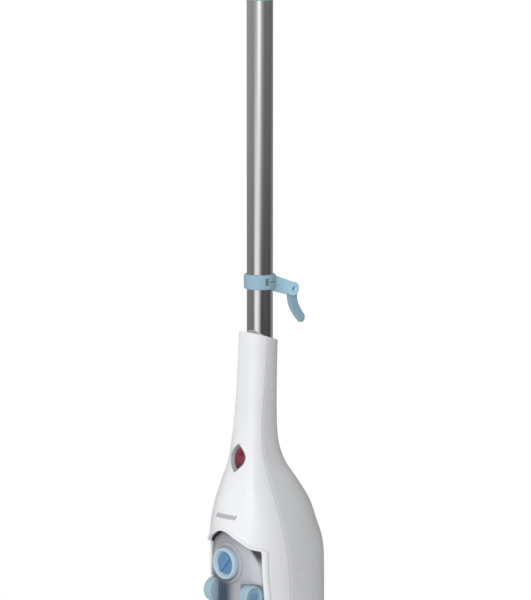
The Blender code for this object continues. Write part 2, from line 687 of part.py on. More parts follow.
def filler_cap():
    """Dished cap with a finger bar across it."""
    profile = ((8.9 * MM, -36 * MM), (8.9 * MM, -41.9 * MM), (CAP_R, -41.9 * MM), (CAP_R, -46 * MM),
               (CAP_R - 1.6 * MM, -48 * MM), (CAP_R - 3.6 * MM, -47.6 * MM), (CAP_R - 5 * MM, -44.6 * MM))
    obj = piece("filler_cap", loft(turned(profile, "Y", (0, 0, CAP_Z), 28)), BLUE, (0, -42 * MM, CAP_Z))
    bar = box((-1.8 * MM, -47.4 * MM, -11.5 * MM), (1.8 * MM, -44 * MM, 11.5 * MM))
    bmesh.ops.rotate(bar, verts=bar.verts, cent=(0, 0, 0), matrix=Matrix.Rotation(radians(40), 3, "Y"))
    bmesh.ops.translate(bar, verts=bar.verts, vec=(0, 0, CAP_Z))
    join(obj, bar)


def filler_seal():
    piece("filler_seal", tube(10.1 * MM, 9.3 * MM, -39.5 * MM, -37.5 * MM, "Y", (0, 0, CAP_Z)), RUBBER)


def tank_pads():
    """Round finger pads that are pinched together to free the tank."""
    for side, label in ((-1, "left"), (1, "right")):
        profile = [(5 * MM, 19 * MM), (PAD_R, 20 * MM), (PAD_R, PAD_X - 1.6 * MM),
                   (PAD_R - 1.4 * MM, PAD_X), (PAD_R - 3.2 * MM, PAD_X - 0.3 * MM),
                   (PAD_R - 4.6 * MM, PAD_X - 2 * MM)]
        rings = turned([(r, side * h) for r, h in profile], "X", (0, PAD_Y, PAD_Z), 28)
        piece("tank_release_" + label, loft(rings), BLUE, (side * PAD_X, PAD_Y, PAD_Z))


# ---------------------------------------------------------------- pole and cord hooks

def pole_tube():
    piece("pole_tube", tube(POLE_R, POLE_R - POLE_WALL, POLE_BASE, POLE_TOP, sides=32), ALUMINIUM)


def swept_bar(path, height, width, steps=10):
    """Bar that follows (y, z, height scale) points, with a rounded rectangular section."""
    rings = []
    for i, (y, z, scale) in enumerate(path):
        ahead = path[min(i + 1, len(path) - 1)]
        back = path[max(i - 1, 0)]
        along = Vector((0, ahead[0] - back[0], ahead[1] - back[1])).normalized()
        up = Vector((1, 0, 0)).cross(along)
        ring = []
        for k in range(steps):
            a = 2 * pi * (k + 0.5) / steps
            ring.append(Vector((0, y, z)) + up * (height / 2 * scale * signed_power(sin(a), 0.6))
                        + Vector((width / 2 * signed_power(cos(a), 0.6), 0, 0)))
        rings.append(ring)
    return loft(rings)


def lower_hook():
    """Clamp ring with an arm to the back, and a finger that hangs from its end on a pin."""
    ring = tube(HOOK_RING_R, POLE_R + GAP, -7 * MM, 7 * MM, "Z", (0, 0, HOOK_Z), 24)
    obj = piece("lower_hook_clamp", ring, BLUE)
    arm = [(15.2 * MM, HOOK_Z - 3.3 * MM, 1.0), (27 * MM, HOOK_Z - 6.9 * MM, 0.96),
           (HOOK_PIVOT_Y - 1 * MM, HOOK_PIVOT_Z + 0.4 * MM, 0.88)]
    join(obj, swept_bar(arm, 15 * MM, 9 * MM))
    join(obj, rod(6.9 * MM, -4.5 * MM, 4.5 * MM, "X", (0, HOOK_PIVOT_Y, HOOK_PIVOT_Z), 24))
    cut(obj, box((-20 * MM, -5.3 * MM, HOOK_Z - 3 * MM), (20 * MM, -1.3 * MM, HOOK_Z + 3.5 * MM)))
    slot = box((-2.5 * MM, HOOK_PIVOT_Y - 8.2 * MM, HOOK_PIVOT_Z - 20 * MM),
               (2.5 * MM, HOOK_PIVOT_Y + 20 * MM, HOOK_PIVOT_Z + 20 * MM))
    cut(obj, slot)
    pivot = (0, HOOK_PIVOT_Y, HOOK_PIVOT_Z)
    cut(obj, rod(1.5 * MM, -10 * MM, 10 * MM, "X", pivot, 16))
    for side in (-1, 1):
        ends = sorted((side * 3.4 * MM, side * 10 * MM))
        cut(obj, rod(2.7 * MM, ends[0], ends[1], "X", pivot, 16))
    path = [(HOOK_PIVOT_Y + 0.5 * MM, HOOK_PIVOT_Z - 1 * MM, 1.0), (42.0 * MM, 567 * MM, 1.0),
            (42.9 * MM, 560.8 * MM, 0.95), (46.4 * MM, 554 * MM, 0.88), (51.2 * MM, 547.6 * MM, 0.84),
            (56.2 * MM, 542.2 * MM, 0.8)]
    finger = piece("lower_hook_finger", swept_bar(path, 11 * MM, 4.2 * MM), BLUE, pivot)
    join(finger, rod(5.6 * MM, -2.1 * MM, 2.1 * MM, "X", pivot))
    cut(finger, rod(1.5 * MM, -10 * MM, 10 * MM, "X", pivot, 16))
    piece("lower_hook_pin", rod(1.35 * MM, -3.2 * MM, 3.2 * MM, "X", pivot, 16), STEEL, pivot)


def upper_hook():
    """Ring that swivels on the pole, with a fixed finger pointing up."""
    ring = tube(HOOK_RING_R, POLE_R + GAP, -7 * MM, 7 * MM, "Z", (0, 0, UPPER_HOOK_Z), 24)
    obj = piece("upper_hook", ring, BLUE, (0, 0, UPPER_HOOK_Z))
    path = [(14.2, 1, 1.0), (26, 2, 0.92), (36, 4, 0.9), (42, 9, 0.95), (44, 17, 0.92), (47, 25, 0.86),
            (52, 32, 0.78), (56, 36, 0.55)]
    path = [(y * MM, UPPER_HOOK_Z + z * MM, scale) for y, z, scale in path]
    join(obj, swept_bar(path, 12 * MM, 9 * MM))


# ---------------------------------------------------------------- handle

def handle_shells():
    levels = spread(905 * MM, 1168 * MM, 12)
    front = piece("handle_front",
                  half_shell(handle_point, handle_inner, levels, pi, 2 * pi, 8, SEAM_GAP), WHITE)
    cut(front, box((-6.4 * MM, -60 * MM, 1024 * MM), (6.4 * MM, -2 * MM, 1078 * MM)))
    rear = piece("handle_rear",
                 half_shell(handle_point, handle_inner, levels, 0, pi, 8, SEAM_GAP), WHITE)
    for number, z in enumerate((945 * MM, 1158 * MM)):
        spine = mix(HANDLE_LEVELS, z / MM)[3] * MM
        cut(rear, rod(2.8 * MM, spine + 5 * MM, spine + 40 * MM, "Y", (0, 0, z), 16))
        skin = handle_point(z, pi / 2).y
        profile = ((1.3 * MM, skin - 7 * MM), (1.3 * MM, skin - 1.6 * MM), (2.5 * MM, skin - 1.6 * MM),
                   (2.0 * MM, skin - 0.3 * MM))
        piece(f"handle_screw_{number + 1}", loft(turned(profile, "Y", (0, 0, z), 12)), STEEL)


def handle_cap():
    """Rounded end of the handle."""
    rings = []
    for i in range(6):
        t = i / 5
        shrink = 1 - cos(t * pi / 2 * 0.93)
        z = 1168 * MM + GAP + 17 * MM * sin(t * pi / 2)
        ring = []
        for k in range(24):
            p = handle_point(1168 * MM, 2 * pi * k / 24)
            spine = Vector((0, (26 + 3 * t) * MM, 0))
            flat = Vector((p.x, p.y - 26 * MM, 0)) * (1 - shrink)
            ring.append(flat + spine + Vector((0, 0, z)))
        rings.append(ring)
    piece("handle_cap", loft(rings), BLUE)


def grip():
    """Soft panel on the rear of the handle."""
    levels = spread(1000 * MM, 1146 * MM, 9)
    rings = []
    for z in levels:
        angles = spread(0.2 * pi, 0.8 * pi, 9)
        rings.append([handle_point(z, a, -1.5 * MM) for a in angles]
                     + [handle_point(z, a, -0.3 * MM) for a in reversed(angles)])
    piece("grip_panel", loft(rings), RUBBER)


def trigger():
    """Curved lever pivoting at its foot, with a heel that pushes the rod down."""
    y, z = TRIGGER_PIVOT.y / MM, TRIGGER_PIVOT.z / MM
    outline = [(y + 11, z - 3), (y + 11, z + 2), (y + 4, z + 6), (y + 2, z + 14), (y + 4, z + 30),
               (y + 7, z + 44), (y + 3, z + 45.5), (y - 3, z + 38), (y - 8, z + 24), (y - 9, z + 12),
               (y - 5, z + 2), (y - 4, z - 3), (y, z - 4.5)]
    outline = [(u * MM, v * MM) for u, v in outline]
    obj = piece("trigger", prism(outline, -5.8 * MM, 5.8 * MM, "X"), BLUE, TRIGGER_PIVOT)
    cut(obj, rod(1.65 * MM, -20 * MM, 20 * MM, "X", TRIGGER_PIVOT, 16))
    piece("trigger_pin", rod(1.5 * MM, -8.5 * MM, 8.5 * MM, "X", TRIGGER_PIVOT, 16), STEEL, TRIGGER_PIVOT)


def trigger_rod():
    """Push rod through the pole, down to the switch in the body."""
    profile = ((ROD_R, 455 * MM), (ROD_R, ROD_FLANGE), (5 * MM, ROD_FLANGE), (5 * MM, ROD_FLANGE + 2 * MM),
               (ROD_R, ROD_FLANGE + 2 * MM), (ROD_R, ROD_TOP))
    piece("trigger_rod", loft(turned(profile, sides=12)), STEEL, (0, 0, ROD_TOP))


def rod_bush():
    """Guide for the rod in the pole's top end, and the seat of its spring."""
    profile = ((10.9 * MM, 928 * MM), (10.9 * MM, 940.3 * MM), (3 * MM, 940.3 * MM), (3 * MM, 928 * MM))
    piece("rod_bush", loft(turned(profile, sides=20), wrap=True), BLACK)


def trigger_spring():
    """Coil spring round the rod, between the bush and the rod's flange."""
    low, high, turns, steps = 941.3 * MM, ROD_FLANGE - 1 * MM, 4, 9
    rings = []
    for i in range(turns * steps + 1):
        a = 2 * pi * i / steps
        z = low + (high - low) * i / (turns * steps)
        out = Vector((cos(a), sin(a), 0))
        centre = out * 4.2 * MM + Vector((0, 0, z))
        rings.append([centre + (out * cos(b) + Vector((0, 0, 1)) * sin(b)) * 0.6 * MM
                      for b in [2 * pi * k / 4 for k in range(4)]])
    piece("trigger_spring", loft(rings), STEEL, smooth=60)


# ---------------------------------------------------------------- assembly

def build():
    clear_scene()
    for make in (pad, grip_strips, sole_plate, bumper, head_cover, steam_manifold, pivot_bracket,
                 pitch_pin, swivel_yoke, roll_pin, neck_socket, neck_button, spigot, steam_pipe, boiler,
                 pump, pump_pipe, control_board, microswitch, front_shell, rear_shell, shell_screws,
                 lamp, tank_bay, cord_gland, water_tank, tank_valve, filler_cap, filler_seal, tank_pads,
                 pole_tube, lower_hook, upper_hook, handle_shells, handle_cap, grip, trigger,
                 trigger_rod, rod_bush, trigger_spring):
        make()


build()
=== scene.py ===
"""Looks of the upright steam mop: fine meshes, materials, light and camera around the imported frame.

Shapes are worked out in millimetres, and finish_mesh turns them into metres. Materials, camera and
lights are in metres.
"""
from math import asin, cos, exp, hypot, pi, radians, sin, sqrt, tau

import bmesh
import bpy
from mathutils import Matrix, Vector


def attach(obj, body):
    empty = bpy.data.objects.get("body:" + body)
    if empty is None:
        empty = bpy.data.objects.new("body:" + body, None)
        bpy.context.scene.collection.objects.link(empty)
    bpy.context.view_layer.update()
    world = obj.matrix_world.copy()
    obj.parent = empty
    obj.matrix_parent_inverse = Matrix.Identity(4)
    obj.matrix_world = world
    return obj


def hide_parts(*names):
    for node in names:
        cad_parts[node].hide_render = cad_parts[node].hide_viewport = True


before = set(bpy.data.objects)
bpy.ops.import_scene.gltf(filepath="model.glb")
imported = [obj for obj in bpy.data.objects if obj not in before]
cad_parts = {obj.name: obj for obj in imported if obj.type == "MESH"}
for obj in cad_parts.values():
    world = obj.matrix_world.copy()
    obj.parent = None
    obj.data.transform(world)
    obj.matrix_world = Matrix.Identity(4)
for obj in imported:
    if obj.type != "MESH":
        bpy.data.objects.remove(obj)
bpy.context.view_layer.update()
MM = 0.001

# body skin: (z, half width, front depth, rear depth, seam offset), as the casing is designed
BODY_LEVELS = (
    (135, 24.0, 26.8, 27.4, -1.0), (160, 29.7, 33.7, 37.1, -0.5), (190, 37.0, 41.5, 51.9, 0.0),
    (220, 41.6, 46.5, 61.1, 0.6), (255, 43.4, 49.0, 65.5, 0.6), (300, 43.2, 49.8, 66.6, -0.2),
    (330, 41.8, 50.3, 65.8, -2.6), (352, 39.4, 48.7, 58.2, -6.2), (372, 35.0, 44.9, 50.9, -9.2),
    (391, 28.6, 39.4, 38.7, -10.8), (411, 22.0, 31.3, 24.2, -12.2), (430, 18.6, 27.4, 17.0, -12.8),
    (455, 16.8, 24.8, 15.2, -11.5), (490, 16.2, 21.9, 15.0, -7.6), (531, 16.4, 19.7, 15.2, -3.5))
FRONT_POWER, REAR_POWER = 2.25, 2.8    # squareness of the two halves' sections
BODY_FOOT = 135
RIM_TOP = 532.4
RIM_SLOPE = 0.30
RIM_FADE = 470
COLLAR_Z = 518                         # from here up the casing is bored for the pole
COLLAR_R = 12.8
WALL = 2.0
SEAM_GAP = 0.15
# the soft crease on the front shell: (z, distance from the middle)
CREASE = ((345, 34.5), (374, 30.0), (400, 20.9), (444, 11.5), (480, 8.3), (531, 8.0))
CREASE_RISE = 1.25
CREASE_SPREAD = 3.2
CREASE_FADE = 14

# handle skin: (z, half width, front depth, rear depth, spine offset)
HANDLE_LEVELS = (
    (905, 17.0, 17.0, 17.0, 0.0), (930, 18.2, 18.6, 18.2, 0.3), (960, 16.8, 18.4, 16.8, 1.5),
    (1000, 16.0, 18.6, 16.4, 4.5), (1040, 16.2, 18.0, 17.0, 8.5), (1090, 16.4, 18.2, 17.4, 14.5),
    (1140, 16.0, 18.4, 17.0, 21.5), (1168, 15.6, 17.6, 16.6, 26.0))
HANDLE_POWER = 2.2
HANDLE_LOW, HANDLE_HIGH = 905, 1168
HANDLE_SCREWS = (945, 1158)

# window: the arch as (half width, height) and the sides as (height, half width)
ARCH = ((-7, 348.9), (0, 350.0), (7, 348.9), (12.5, 346.0), (20.5, 341.4), (27.5, 336.0), (31.5, 334.1),
        (33.6, 333.4))
WINDOW_SIDES = ((333.0, 34.8), (331.4, 35.5), (328, 35.8), (307, 36.4), (285, 37.3), (255, 37.4),
                (230, 35.8), (218, 33.6), (209, 29.5), (205, 21.0))
WINDOW_LOW, WINDOW_HIGH = 190, 352     # heights that enclose the window
LIP_WIDTH = 2.8
LIP_RISE = 1.6

LAMP_Z = 418
LAMP_HALF_WIDTH, LAMP_HALF_HEIGHT = 10.2, 13.5
LAMP_DEPTH = 3.4

# tank outline as (half width, height); the tank's own skin as (height, half width, front depth)
TANK_HALF = ((0, 348.4), (9, 346.7), (17, 342.3), (25, 336.6), (30.2, 329.2), (33.4, 320.6), (35.0, 311),
             (36.6, 285), (36.4, 251), (32.8, 219), (28.3, 209.5), (20, 206.5))
TANK_LEVELS = ((190, 37.0, 35.0), (220, 42.5, 38.6), (255, 44.1, 40.6), (300, 44.1, 40.8),
               (330, 43.5, 40.6), (352, 42.0, 39.9))
TANK_SEAM = -6
TANK_POWER = 2.5
TANK_SPLIT = -20                       # the clear front meets the light tray here
OUTLET_Z = 224
CAP_AT = (0, 0, 318)
PAD_X, PAD_R = 30.5, 12.0
PAD_AT = (0, -34.5, 287.5)

POLE_R, POLE_WALL = 12.5, 1.2
POLE_LOW, POLE_HIGH = 456, 940
HOOK_Z = 585
HOOK_PIVOT = Vector((0, 41, 574))
UPPER_HOOK_Z = 858
TRIGGER_PIVOT = Vector((0, -3, 1030))
PITCH_AT = (0, 0, 46)
ROLL_AT = (0, 0, 74)
PITCH_Z, ROLL_Z = PITCH_AT[2], ROLL_AT[2]
PIVOT_R, PIVOT_BORE = 4.0, 4.15
BUTTON_AT = (0, 0, 113)
GLAND_AT = (0, 0, 196)
SCREW_SITES = ((8.5, 386), (22, 176))  # (distance from the middle, z)

HEAD_WIDTH, HEAD_DEPTH, HEAD_POWER = 300, 178, 3.4
COVER_EDGE, COVER_DOME, COVER_WALL = 25, 15, 2.4

VIEW_AZIMUTH, VIEW_ELEVATION = 47.0, 8.0
VIEW_HEIGHT = 570 * MM                 # what the main view shows, from top to bottom
AMBIENT = 0.43


# ---------------------------------------------------------------- mesh tools

def paint(obj, *mats):
    """Give an object these materials and no others."""
    obj.data.materials.clear()
    for mat in mats:
        obj.data.materials.append(mat)


def new_object(name, mesh, mat=None, smooth=40):
    mesh.shade_smooth()
    mesh.set_sharp_from_angle(angle=radians(smooth))
    obj = bpy.data.objects.new(name, mesh)
    bpy.context.collection.objects.link(obj)
    if mat:
        paint(obj, mat)
    return obj


def mesh_from(name, bm):
    mesh = bpy.data.meshes.new(name)
    bm.to_mesh(mesh)
    bm.free()
    return mesh


def finish_mesh(name, bm, mat=None, smooth=40):
    """Object in metres out of a shape in millimetres."""
    bm.transform(Matrix.Scale(MM, 4))
    bmesh.ops.recalc_face_normals(bm, faces=bm.faces)
    return new_object(name, mesh_from(name, bm), mat, smooth)


def place(obj, body, slot, *nodes):
    """Put a finished piece on its body and hide the CAD nodes that it stands for; `slot` is not used."""
    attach(obj, body)
    if nodes:
        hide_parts(*nodes)


def settle(obj, smooth=40):
    """Replace an object's mesh by what its modifiers make of it."""
    graph = bpy.context.evaluated_depsgraph_get()
    mesh = bpy.data.meshes.new_from_object(obj.evaluated_get(graph))
    obj.modifiers.clear()
    obj.data = mesh
    mesh.shade_smooth()
    mesh.set_sharp_from_angle(angle=radians(smooth))


def boolean(obj, tool, operation):
    """Change an object by a shape or by another object, which is used up."""
    other = tool if isinstance(tool, bpy.types.Object) else finish_mesh("tool", tool)
    mod = obj.modifiers.new("tool", "BOOLEAN")
    mod.object = other
    mod.operation = operation
    mod.solver = "MANIFOLD"
    settle(obj)
    bpy.data.objects.remove(other)


def cut(obj, *tools):
    for tool in tools:
        boolean(obj, tool, "DIFFERENCE")


def join(obj, *tools):
    for tool in tools:
        boolean(obj, tool, "UNION")


def soften(obj, voxel, rounds):
    """Even out a cut solid and round its edges a little."""
    mats = list(obj.data.materials)[:1]
    remesh = obj.modifiers.new("even", "REMESH")
    remesh.mode = "VOXEL"
    remesh.voxel_size = voxel * MM
    smooth = obj.modifiers.new("soft", "SMOOTH")
    smooth.factor = 0.5
    smooth.iterations = rounds
    settle(obj, 60)
    paint(obj, *mats)


def loft(rings, wrap=False):
    """Skin over rings of equally many points, closed at both ends or into a ring."""
    bm = bmesh.new()
    rows = [[bm.verts.new(point) for point in ring] for ring in rings]
    count = len(rows[0])
    pairs = list(zip(rows, rows[1:]))
    if wrap:
        pairs.append((rows[-1], rows[0]))
    for low, high in pairs:
        for i in range(count):
            j = (i + 1) % count
            bm.faces.new((low[i], low[j], high[j], high[i]))
    if not wrap:
        bm.faces.new(rows[0])
        bm.faces.new(rows[-1])
    return bm


def turned(profile, axis="Z", at=(0, 0, 0), sides=72, ripple=None):
    """Rings of a solid of revolution; `ripple` may vary the radius with the angle."""
    turn = {"Z": Matrix(), "X": Matrix.Rotation(pi / 2, 4, "Y"), "Y": Matrix.Rotation(-pi / 2, 4, "X")}
    where = Matrix.Translation(at) @ turn[axis]
    rings = []
    for radius, height in profile:
        ring = []
        for i in range(sides):
            a = tau * (i + 0.5) / sides
            r = radius * (ripple(a, radius, height) if ripple else 1)
            ring.append(where @ Vector((r * cos(a), r * sin(a), height)))
        rings.append(ring)
    return rings


def lathe(profile, soft, axis="Z", at=(0, 0, 0), sides=64, wrap=False):
    """Solid of revolution with the profile's inner corners rounded by `soft`."""
    return loft(turned(soft_profile(profile, soft), axis, at, sides), wrap)


def rod(radius, start, end, axis="Z", at=(0, 0, 0), sides=48):
    return loft(turned(((radius, start), (radius, end)), axis, at, sides))


def side_rods(radius, inner, outer, axis, at, sides=48):
    """The same rod on both sides of a middle plane."""
    return [rod(radius, *sorted((side * inner, side * outer)), axis, at, sides) for side in (-1, 1)]


def rectangle(left, low, right, high):
    return [(left, low), (right, low), (right, high), (left, high)]


def box(low, high):
    return loft([[Vector((x, y, z)) for x, y in rectangle(low[0], low[1], high[0], high[1])]
                 for z in (low[2], high[2])])


def prism(outline, start, end, axis="Y"):
    if axis == "Y":
        return loft([[Vector((u, d, v)) for u, v in outline] for d in (start, end)])
    return loft([[Vector((d, u, v)) for u, v in outline] for d in (start, end)])


def corner(before, here, after, radius, steps):
    """Points that round the corner at `here` by about that radius."""
    here = Vector(here)
    back, ahead = Vector(before) - here, Vector(after) - here
    reach = min(radius, back.length * 0.45, ahead.length * 0.45)
    start, end = here + back.normalized() * reach, here + ahead.normalized() * reach
    return [tuple(start * (1 - t) ** 2 + here * 2 * t * (1 - t) + end * t * t)
            for t in spread(0, 1, steps + 1)]


def rounded(points, radius, steps=5):
    """Closed outline with each corner rounded."""
    after = [*points[1:], points[0]]
    return [p for i in range(len(points)) for p in corner(points[i - 1], points[i], after[i], radius, steps)]


def soft_profile(points, radius, steps=4):
    """Open profile with its inner corners rounded."""
    inner = [p for i in range(1, len(points) - 1) for p in corner(*points[i - 1:i + 2], radius, steps)]
    return [points[0], *inner, points[-1]]


def tube_along(points, radius, mat, resolution=4):
    """Round bead that follows points."""
    curve = bpy.data.curves.new("bead", "CURVE")
    curve.dimensions = "3D"
    curve.bevel_depth = radius
    curve.bevel_resolution = resolution
    curve.use_fill_caps = True
    spline = curve.splines.new("POLY")
    spline.points.add(len(points) - 1)
    for target, point in zip(spline.points, points):
        target.co = (*point, 1)
    carrier = bpy.data.objects.new("bead_path", curve)
    bpy.context.collection.objects.link(carrier)
    graph = bpy.context.evaluated_depsgraph_get()
    mesh = bpy.data.meshes.new_from_object(carrier.evaluated_get(graph))
    bpy.data.objects.remove(carrier)
    mesh.transform(Matrix.Scale(MM, 4))
    return new_object("bead", mesh, mat)


def merge(name, objects):
    """One object out of several that share a material."""
    bm = bmesh.new()
    for obj in objects:
        bm.from_mesh(obj.data)
    mat = objects[0].data.materials[0]
    for obj in objects:
        bpy.data.objects.remove(obj)
    return new_object(name, mesh_from(name, bm), mat)


def spread(low, high, count):
    return [low + (high - low) * i / (count - 1) for i in range(count)]


def mix(points, at):
    """Smooth value at `at` through rows of (key, values...)."""
    last = len(points) - 2
    k = max(0, min(last, sum(1 for row in points[1:-1] if row[0] <= at)))
    before, low = points[max(0, k - 1)], points[k]
    high, after = points[k + 1], points[min(len(points) - 1, k + 2)]
    span = high[0] - low[0]
    t = (at - low[0]) / span
    values = []
    for i in range(1, len(low)):
        slope_low = (high[i] - before[i]) / (high[0] - before[0]) * span
        slope_high = (after[i] - low[i]) / (after[0] - low[0]) * span
        values.append((2 * t**3 - 3 * t**2 + 1) * low[i] + (t**3 - 2 * t**2 + t) * slope_low
                      + (3 * t**2 - 2 * t**3) * high[i] + (t**3 - t**2) * slope_high)
    return values


def smooth_line(points, steps):
    """Points along a smooth curve through the given ones."""
    rows = [(i, *p) for i, p in enumerate(points)]
    return [tuple(mix(rows, k / steps)) for k in range((len(points) - 1) * steps + 1)]


def signed_power(value, power):
    return abs(value) ** power * (1 if value >= 0 else -1)


def oval(half, depth, power, angle):
    """Point of a squarish oval at an angle."""
    return half * signed_power(cos(angle), 2 / power), depth * signed_power(sin(angle), 2 / power)


# ---------------------------------------------------------------- materials

def nodes_of(name):
    mat = bpy.data.materials.new(name)
    mat.use_nodes = True
    tree = mat.node_tree
    return mat, tree, tree.nodes["Principled BSDF"]


def add(tree, kind, **values):
    """New node with the named inputs or settings."""
    node = tree.nodes.new(kind)
    for key, value in values.items():
        if key in node.inputs:
            node.inputs[key].default_value = value
        else:
            setattr(node, key, value)
    return node


def feed(tree, socket, value):
    """Link another node's output to a socket, or set the socket's own value."""
    if isinstance(value, bpy.types.NodeSocket):
        tree.links.new(value, socket)
    else:
        socket.default_value = value


def calculate(tree, operation, *values):
    node = add(tree, "ShaderNodeMath", operation=operation)
    for socket, value in zip(node.inputs, values):
        feed(tree, socket, value)
    return node.outputs[0]


def blend(tree, share, first, second):
    """Colour between two."""
    node = add(tree, "ShaderNodeMix", data_type="RGBA")
    feed(tree, node.inputs["Factor"], share)
    feed(tree, node.inputs[6], first)
    feed(tree, node.inputs[7], second)
    return node.outputs[2]


def ranged(tree, source, low, high, start=0.0, end=1.0, curve="SMOOTHSTEP"):
    """`start` to `end` as a value goes from low to high."""
    node = add(tree, "ShaderNodeMapRange", interpolation_type=curve)
    for key, value in (("From Min", low), ("From Max", high), ("To Min", start), ("To Max", end)):
        node.inputs[key].default_value = value
    tree.links.new(source, node.inputs["Value"])
    return node.outputs["Result"]


def object_coords(tree, scale=(1, 1, 1)):
    coords = tree.nodes.new("ShaderNodeTexCoord")
    mapping = add(tree, "ShaderNodeMapping", Scale=scale)
    tree.links.new(coords.outputs["Object"], mapping.inputs["Vector"])
    return mapping.outputs["Vector"]


def noise(tree, vector, scale, detail):
    node = add(tree, "ShaderNodeTexNoise", Scale=scale, Detail=detail)
    tree.links.new(vector, node.inputs["Vector"])
    return node.outputs["Fac"]


def vary(tree, vector, scale, low, high, detail=3.0):
    """Noise spread between two values."""
    return ranged(tree, noise(tree, vector, scale, detail), 0.3, 0.7, low, high, "LINEAR")


def tint(tree, vector, scale, dark, light):
    """Noise spread between two colours."""
    ramp = tree.nodes.new("ShaderNodeValToRGB")
    for stop, position, colour in zip(ramp.color_ramp.elements, (0.35, 0.65), (dark, light)):
        stop.position = position
        stop.color = (*colour, 1)
    tree.links.new(noise(tree, vector, scale, 4.0), ramp.inputs["Fac"])
    return ramp.outputs["Color"]


def relief(tree, vector, scale, strength, depth, edge=0.0, kind="ShaderNodeTexNoise"):
    """Normal from a fine texture `depth` mm deep, with edges softened over `edge` mm."""
    texture = add(tree, kind, Scale=scale)
    tree.links.new(vector, texture.inputs["Vector"])
    bump = add(tree, "ShaderNodeBump", Strength=strength, Distance=depth * MM)
    out = texture.outputs["Fac"] if "Fac" in texture.outputs else texture.outputs["Distance"]
    tree.links.new(out, bump.inputs["Height"])
    if edge:
        bevel = add(tree, "ShaderNodeBevel", Radius=edge * MM, samples=4)
        tree.links.new(bevel.outputs["Normal"], bump.inputs["Normal"])
    return bump.outputs["Normal"]


def surface(name, dark, light, patch, rough, grain, stretch=(1, 1, 1), **sockets):
    """Material with uneven colour, roughness and relief.

    `patch` is the colour noise's scale, `rough` is (scale, low, high, detail) and `grain` is what
    relief() takes after the vector.
    """
    mat, tree, shader = nodes_of(name)
    vector = object_coords(tree, stretch)
    feed(tree, shader.inputs["Base Color"], tint(tree, vector, patch, dark, light))
    feed(tree, shader.inputs["Roughness"], vary(tree, vector, *rough))
    feed(tree, shader.inputs["Normal"], relief(tree, vector, *grain))
    for key, value in sockets.items():
        shader.inputs[key.replace("_", " ").title()].default_value = value
    return mat


def plastic(name, colour, roughness, texture=1400, depth=0.03, coat=0.0):
    dark, light = [c * 0.96 for c in colour], [min(1.0, c * 1.024) for c in colour]
    return surface(name, dark, light, 14.0, (60.0, roughness - 0.05, roughness + 0.05),
                   (texture, 0.25, depth, 0.5), coat_weight=coat, coat_roughness=0.08)


def brushed_metal(name, colour, roughness, along=(1, 1, 0.02), scale=900, depth=0.01):
    """Metal with fine drawn lines along one direction."""
    return surface(name, [c * 0.93 for c in colour], colour, scale * 0.6,
                   (scale, roughness * 0.75, roughness * 1.3, 2.0), (scale, 0.2, depth), along, metallic=1.0)


def cloth(name, colour, scale):
    return surface(name, [c * 0.8 for c in colour], colour, 220.0, (120.0, 0.8, 0.95),
                   (scale, 0.6, 0.15, 0.0, "ShaderNodeTexVoronoi"), sheen_weight=0.3)


def smoked_plastic():
    """Clear smoky plastic with painted shade: slate-blue low on its left half, and a dark painted shadow in
    its upper corners.
    """
    mat, tree, shader = nodes_of("smoked_and_painted_shade_look")
    vector = object_coords(tree)
    split = tree.nodes.new("ShaderNodeSeparateXYZ")
    tree.links.new(vector, split.inputs["Vector"])
    x, z = split.outputs["X"], split.outputs["Z"]
    # painted shade: the colour turns slate-blue where this mask is low, on the lower left
    clear = calculate(tree, "MAXIMUM", ranged(tree, x, -5 * MM, 13 * MM),
                      ranged(tree, z, 292 * MM, 318 * MM, 0.0, 0.8))
    body = blend(tree, clear, (0.07, 0.11, 0.17, 1),
                 tint(tree, vector, 9.0, (0.84, 0.85, 0.91), (0.90, 0.91, 0.97)))
    # painted shadow in the upper corners: its edge slopes down outwards, through 35 mm from the middle at z
    # 318 mm
    slope, width = 15 / 9, 3 * MM
    edge = 318 * MM + 35 * MM * slope
    across = calculate(tree, "MULTIPLY_ADD", calculate(tree, "ABSOLUTE", x), slope, z)
    dark = ranged(tree, across, edge - width, edge + width)
    feed(tree, shader.inputs["Base Color"], blend(tree, dark, body, (0.03, 0.032, 0.036, 1)))
    # the painted shade and shadow are made less see-through than the clear plastic
    alpha = ranged(tree, calculate(tree, "SUBTRACT", clear, dark), 0.0, 1.0, 0.6, 0.34, "LINEAR")
    feed(tree, shader.inputs["Alpha"], alpha)
    feed(tree, shader.inputs["Roughness"], vary(tree, vector, 40.0, 0.08, 0.16))
    feed(tree, shader.inputs["Normal"], relief(tree, vector, 300, 0.12, 0.02))
    shader.inputs["Coat Weight"].default_value = 0.6
    shader.inputs["Coat Roughness"].default_value = 0.05
    return mat


WHITE = plastic("white_plastic_look", (0.84, 0.85, 0.87), 0.22, 900, 0.02, coat=0.25)
# darker copy of the white plastic for the rear shell: painted shade of the flank turned away from the key
# light
SHADED_REAR_WHITE = plastic("painted_shade_rear_white_look", (0.70, 0.71, 0.725), 0.26, 900, 0.02, coat=0.2)
BLUE = plastic("blue_plastic_look", (0.29, 0.46, 0.55), 0.34)
# lighter copy of the blue plastic for the lower hook's arm: painted light
LIT_ARM_BLUE = plastic("painted_light_arm_blue_look", (0.46, 0.75, 0.89), 0.30)
# deeper blue for the pads' dishes and ribs: painted shade of the hollow face
PAD_DISH_SHADE_BLUE = plastic("painted_shade_pad_dish_look", (0.20, 0.40, 0.60), 0.30)
CAP_BLUE = plastic("cap_blue_plastic_look", (0.48, 0.61, 0.71), 0.30)
PALE_BLUE = plastic("pale_blue_plastic_look", (0.37, 0.52, 0.61), 0.30)
# deeper blue for the cap's dish and bar: painted shade of the hollow
CAP_DISH_SHADE_BLUE = plastic("painted_shade_cap_dish_look", (0.12, 0.28, 0.47), 0.30)
TRAY = plastic("tank_tray_look", (0.84, 0.85, 0.90), 0.35, 1200, 0.02)
